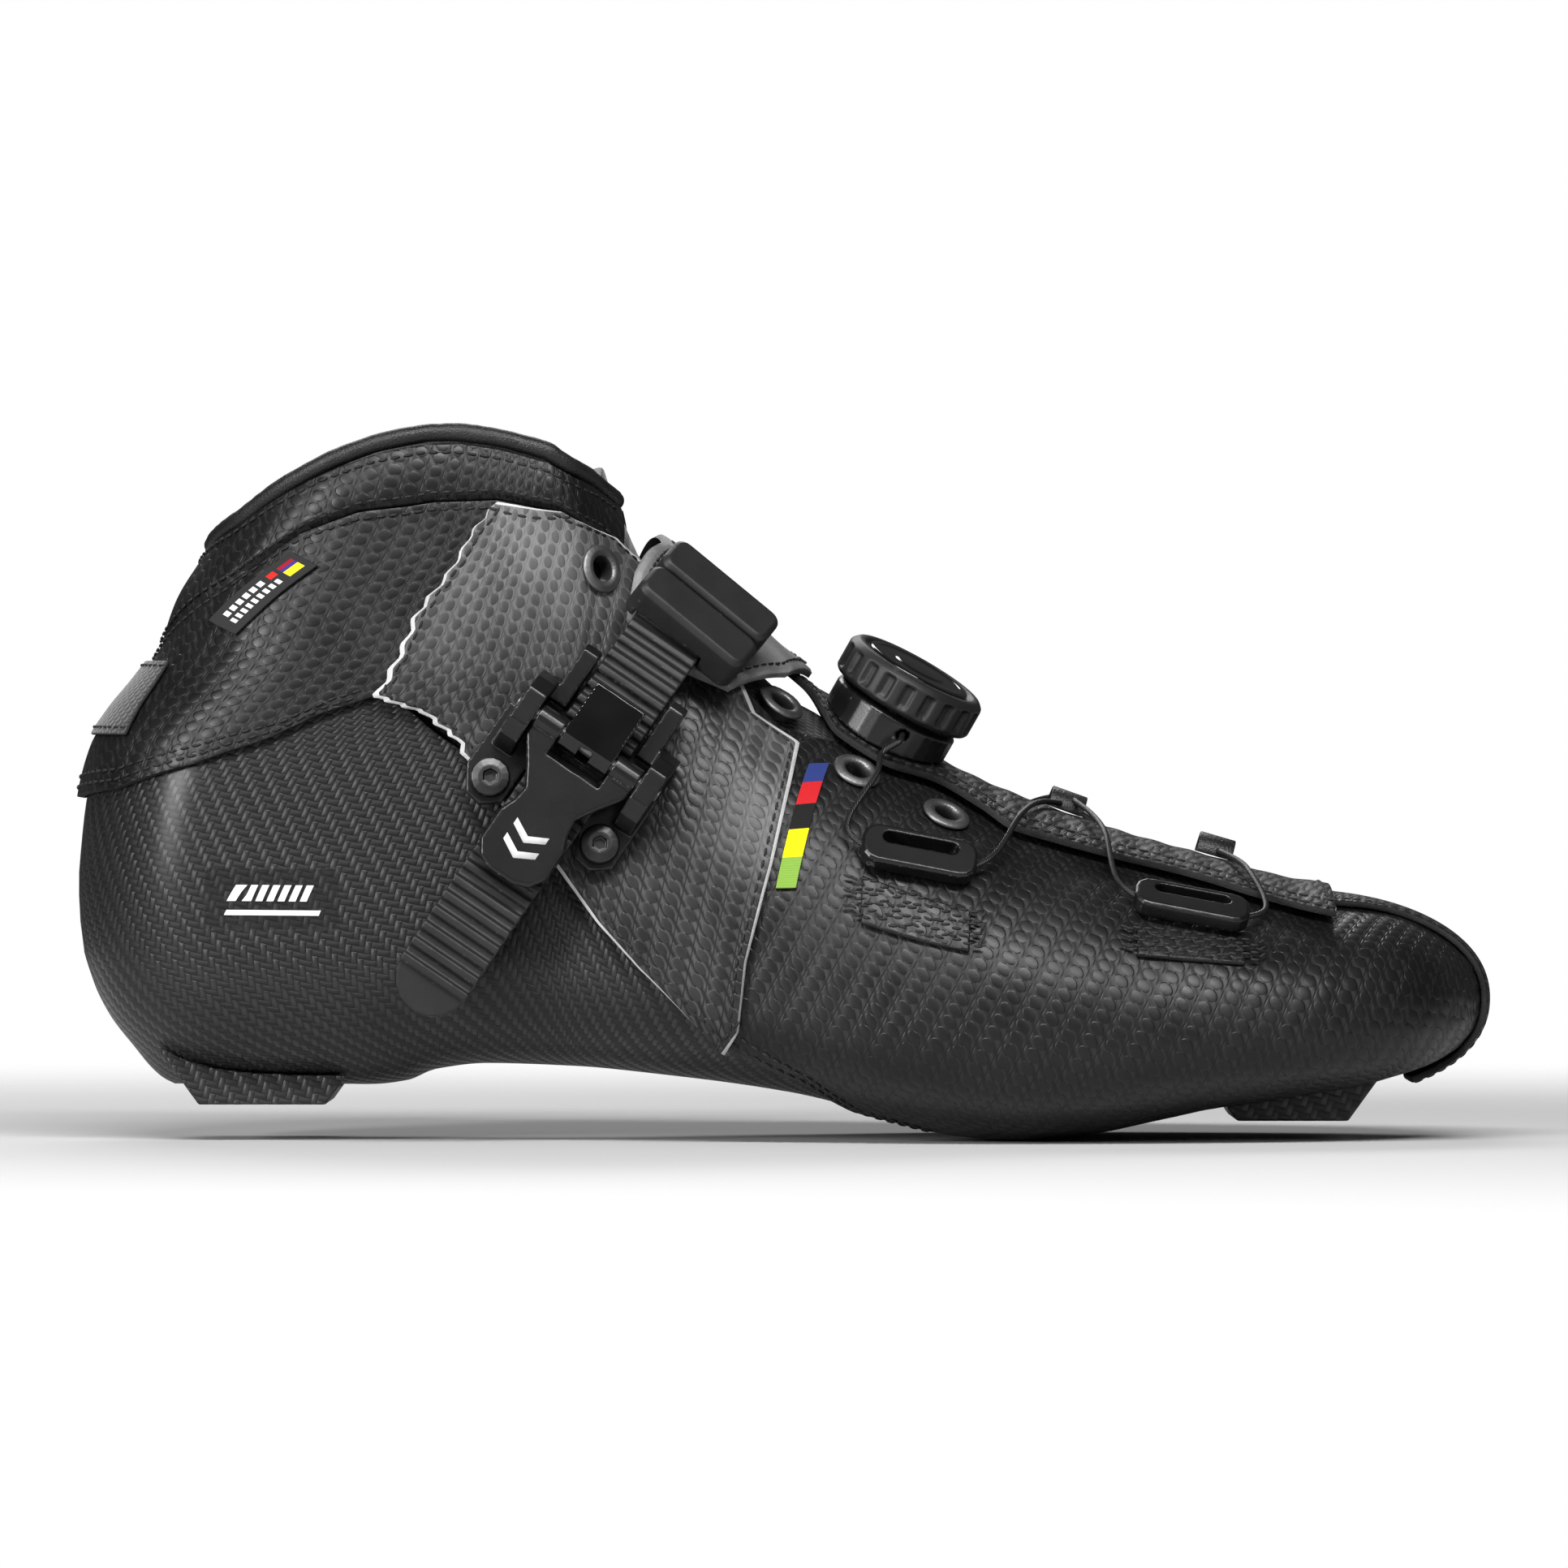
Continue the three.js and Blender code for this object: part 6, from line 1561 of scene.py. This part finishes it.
def make_buckle():
    for node, name, finish, slot, body, voxel in (
            ("buckle_base", "buckle_frame", "satin_plastic", "plastic", "root", 0.24),
            ("buckle_lever", "ratchet_lever", "satin_plastic", "plastic", "lever", 0.2),
            ("release_pawl", "release_tab", "gloss_plastic", "gloss", "pawl", 0.17),
            ("ladder_strap", "strap_ladder", "rubber", "plastic", "strap_end", 0.22),
            ("ladder_block", "strap_block", "rubber", "rubber", "strap_end", 0.25),
            ("strap_clamp", "strap_jaws", "rubber", "rubber", "strap_end", 0.25)):
        piece = moulded(node, name, [finish], voxel, 4)
        settle(piece, [node], slot, body)
    dress("buckle_pin", "steel")
    dress("drive_pawl", "alloy")
    for word in ("front", "rear"):
        node = "buckle_screw_" + word
        settle(moulded(node, "frame_screw_" + word, ["dark_steel"], 0.14, 3), [node], "steel")
    for k in range(2):
        x = 20.0 + 3.4 * k
        outline = [(x, 0), (x - 1.9, 3.6), (x - 0.5, 3.6), (x + 1.5, 0), (x - 0.5, -3.6), (x - 1.9, -3.6)]
        mark = prism(f"lever_chevron_{k + 1}", outline[::-1], LEVER_TOP - 0.15, LEVER_TOP + 0.12, BUCKLE,
                     ["pale_mark"], 0.06, 1)
        settle(mark, [], "plastic", "lever")


def make_strap():
    def crowned(s, t, u, theta):
        return STRAP_OUTER - 0.5 * (2 * t - 1) ** 4 + 0.08 * np.sin(u * 0.8 + theta * 0.3)

    strap_hole = (frame_on(MEDIAL, (0.392, 0.61), (0.45, 0.7), 0), 2.3)
    strap = sheet_of("ankle_wrap", PATCHES["strap"], 150, 50, crowned, STRAP_INNER + 0.05,
                     ["grey_leather", "backing", "strap_edge"], holes=[strap_hole],
                     bevel=0.2, frayed=True)
    rows = [edge_row(PATCHES["strap"], 2.2, STRAP_OUTER - 0.05, edge, (0.03, 0.97)) for edge in ("t0", "t1")]
    rows += [edge_row(PATCHES["strap"], 2.4, STRAP_OUTER - 0.05, "s0", (0.08, 0.92), 60)]
    stitches = stitched("strap_stitching", rows)
    mark_rows = []
    for k in range(9):
        share = 0.30 + 0.016 * k
        t = np.linspace(0.3, 0.62, 40)
        side, u, theta = PATCHES["strap"](share + 0 * t, t)
        mark_rows.append((on_surface(side, u, theta, STRAP_OUTER + 0.02 + 0 * t), normal_at(side, u, theta)))
    patch = stitched("strap_patch", mark_rows, "thread", 1.1, 1.3, 0.7)
    start = world(on_surface(MEDIAL, *place_of((0.45, 0.7)), STRAP_OUTER))
    end = world(on_surface(LATERAL, *place_of((0.45, 0.72)), STRAP_OUTER))
    for piece in (strap, stitches, patch):
        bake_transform(piece)
    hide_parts("ankle_strap")
    head = moulded("strap_screw", "strap_fixing_screw", ["steel"], 0.16, 3)
    settle(head, ["strap_screw"], "steel")


def make_labels():
    for node, places, offsets, finish, slot in (
            ("heel_sticker", ([(0.097, 0.3), (0.192, 0.3)], [(0.097, 0.391), (0.192, 0.391)]), (-0.02, -0.28),
             "clear_patch", "clear"),
            ("side_tag", ([(0.104, 0.742), (0.16, 0.842)], [(0.122, 0.722), (0.178, 0.822)]),
             (SKIN + GAP + 0.5, SKIN - 0.1), "woven_tag", "label"),
            ("stripe_tag", ([(0.52, 0.529), (0.4995, 0.357)], [(0.5345, 0.529), (0.514, 0.357)]),
             (SKIN + GAP + 0.3, SKIN - 0.1), "stripe_tag", "label")):
        clear = node == "heel_sticker"
        under, edges = (finish, finish) if clear else ("backing", "dark_edge")
        piece = sheet_of(node + "_face", ruled(LATERAL, *places), 48, 24, offsets[0], offsets[1],
                         [finish, under, edges], bevel=0.12, unit=True)
        settle(piece, [node], slot)


FLOOR_RADIUS, FLOOR_DROP = 1.6, 0.0004
LENS, CAMERA_LEVEL, CAMERA_BACK = 250, 0.0671, 0.012
# Each light: its name, where it stands, what it faces, its two sizes and its power in watts.
LIGHTS = (("overhead", (0.05, -0.78, 0.86), (0, 0, 0.06), (1.0, 0.17), 17.0),
          ("left", (-0.92, -0.88, 0.38), (-0.06, 0, 0.06), (0.26, 0.42), 12.0),
          ("front", (0.5, -1.2, 0.45), (0.02, 0, 0.05), (0.4, 0.2), 1.0),
          ("back", (-0.2, 1.0, 0.9), (0, 0, 0.05), (0.9, 0.4), 8.0))


def aimed(thing, place, direction):
    """Stands a light or the camera in its place, facing a direction."""
    thing.location = place
    thing.rotation_mode = "QUATERNION"
    thing.rotation_quaternion = direction.to_track_quat("-Z", "Y")


def make_stage():
    finish = bpy.context.scene.boot_finish
    mesh = bpy.data.meshes.new("floor")
    edit = bmesh.new()
    bmesh.ops.create_circle(edit, cap_ends=True, radius=FLOOR_RADIUS, segments=96)
    edit.to_mesh(mesh)
    edit.free()
    floor = linked("floor", mesh)
    floor.location = (0, 0, -FLOOR_DROP)
    material = bpy.data.materials.new("pale_floor")
    material.use_nodes = True
    t = Tree(material.node_tree)
    shader = material.node_tree.nodes["Principled BSDF"]
    shader.inputs["Base Color"].default_value = tuple(finish.floor_colour)
    shader.inputs["Roughness"].default_value = 0.7
    shader.inputs["Specular IOR Level"].default_value = 0.1
    place = t.place()
    reach = t.put("ShaderNodeVectorMath", {0: place}, operation="LENGTH").outputs["Value"]
    t.feed(shader.inputs["Alpha"], t.ramp(reach, 0.6, 0.18))
    floor.data.materials.append(material)
    scene = bpy.context.scene
    scene.view_settings.view_transform = "Standard"
    sky = bpy.data.worlds.new("studio")
    sky.use_nodes = True
    t = Tree(sky.node_tree)
    plain = sky.node_tree.nodes["Background"]
    plain.inputs["Color"].default_value = grey(0.62)
    plain.inputs["Strength"].default_value = finish.sky_strength
    seen = t.put("ShaderNodeBackground", {"Color": grey(1.0), "Strength": 1.0}).outputs[0]
    path = t.put("ShaderNodeLightPath").outputs["Is Camera Ray"]
    both = t.put("ShaderNodeMixShader", {0: path, 1: plain.outputs[0], 2: seen}).outputs[0]
    t.feed(sky.node_tree.nodes["World Output"].inputs["Surface"], both)
    scene.world = sky
    for name, place, aim, size, watts in LIGHTS:
        light = bpy.data.lights.new(name, "AREA")
        light.shape = "RECTANGLE"
        light.size, light.size_y = size
        light.energy = watts
        aimed(linked(name, light), place, Vector(aim) - Vector(place))
    lens = bpy.data.cameras.new("camera")
    lens.lens = LENS
    lens.clip_start, lens.clip_end = 0.05, 50
    camera = linked("camera", lens)
    distance = finish.view_width * lens.lens / lens.sensor_width + CAMERA_BACK
    aimed(camera, (0, -distance, CAMERA_LEVEL), Vector((0, 1, 0)))
    scene.camera = camera


# ---------------------------------------------------------------- properties, operators and panel
def colour_property(name, description, value):
    return bpy.props.FloatVectorProperty(name=name, description=description, default=value, subtype="COLOR",
                                         size=4, min=0, max=1)


def size_property(name, description, value, low, high):
    return bpy.props.FloatProperty(name=name, description=description, default=value, min=low, max=high,
                                   subtype="DISTANCE", unit="LENGTH", precision=4)


class BootFinish(bpy.types.PropertyGroup):
    """Sizes and colours of the boot's finishes and of the stage."""

    leather_colour: colour_property("Leather", "Ground of the coated leather", (0.0032, 0.0032, 0.0032, 1))
    print_colour: colour_property("Pressed weave", "Raised parts of the leather", (0.017, 0.017, 0.017, 1))
    carbon_colour: colour_property("Carbon", "Deepest tone of the carbon cup", (0.002, 0.002, 0.002, 1))
    strap_colour: colour_property("Ankle strap", "Darker tone of the grey strap", (0.13, 0.13, 0.135, 1))
    floor_colour: colour_property("Floor", "The pale floor", (0.55, 0.55, 0.55, 1))
    tow_width: size_property("Tow width", "Width of one carbon tow", 0.00118, 0.0005, 0.006)
    emboss_pitch: size_property("Column pitch", "Spacing of the pressed columns", 0.0041, 0.001, 0.01)
    view_width: size_property("View width", "Width that the camera takes in", 0.2974, 0.05, 2)
    sky_strength: bpy.props.FloatProperty(name="Sky strength", description="Light from all round",
                                          default=0.1, min=0, max=5)


def piece_operator(idname, label, text, make):
    """An operator class that builds one piece or group of like pieces."""
    def execute(self, context):
        make()
        return {"FINISHED"}

    return type("BOOT_OT_" + idname, (bpy.types.Operator,), {
        "bl_idname": "boot." + idname, "bl_label": label, "__doc__": text, "bl_options": {"REGISTER"},
        "execute": execute})


OPERATORS = [piece_operator(*row) for row in (
    ("stage", "Stage", "Lays the floor, sets the lights and stands the camera", make_stage),
    ("finishes", "Finishes", "Makes the shader groups and materials", build_materials),
    ("patches", "Patches", "Works out where each sewn patch lies on the form", build_patches),
    ("cup", "Carbon Cup", "Builds the carbon cup with its mount pads and inserts", make_cup),
    ("lining", "Lining", "Builds the liner, foot bed, tongue and padded collar", make_lining),
    ("upper", "Upper", "Builds the leather panels, overlays, lace cover, toe strip and binding", make_upper),
    ("stitching", "Stitching", "Sews the upper's seams", make_stitching),
    ("eyelets", "Eyelets", "Sets the eight eyelets", make_eyelets),
    ("guides", "Lace Guides", "Builds the lace guides and loops", make_guides),
    ("lace", "Lace", "Runs the wire lace through its guides", make_lace),
    ("dial", "Dial", "Builds the dial closure", make_dial),
    ("buckle", "Ratchet Buckle", "Builds the ratchet buckle and its ladder", make_buckle),
    ("strap", "Ankle Strap", "Builds the ankle strap and its fixing", make_strap),
    ("labels", "Labels", "Adds the woven tags and the clear patch", make_labels),
)]


class BOOT_PT_panel(bpy.types.Panel):
    """Lists the boot's finishes and the steps that build it."""

    bl_label = "Speed Skating Boot"
    bl_idname = "BOOT_PT_panel"
    bl_space_type = "VIEW_3D"
    bl_region_type = "UI"
    bl_category = "Boot"

    def draw(self, context):
        finish = context.scene.boot_finish
        for key in finish.bl_rna.properties.keys():
            if key not in ("rna_type", "name"):
                self.layout.prop(finish, key)
        for operator in OPERATORS:
            self.layout.operator(operator.bl_idname)


CLASSES = [BootFinish, *OPERATORS, BOOT_PT_panel]


def register():
    for each in CLASSES:
        bpy.utils.register_class(each)
    bpy.types.Scene.boot_finish = bpy.props.PointerProperty(type=BootFinish)


def unregister():
    del bpy.types.Scene.boot_finish
    for each in reversed(CLASSES):
        bpy.utils.unregister_class(each)


def main():
    register()
    for operator in OPERATORS:
        getattr(bpy.ops.boot, operator.bl_idname.split(".")[1])()


if __name__ == "__main__":
    main()
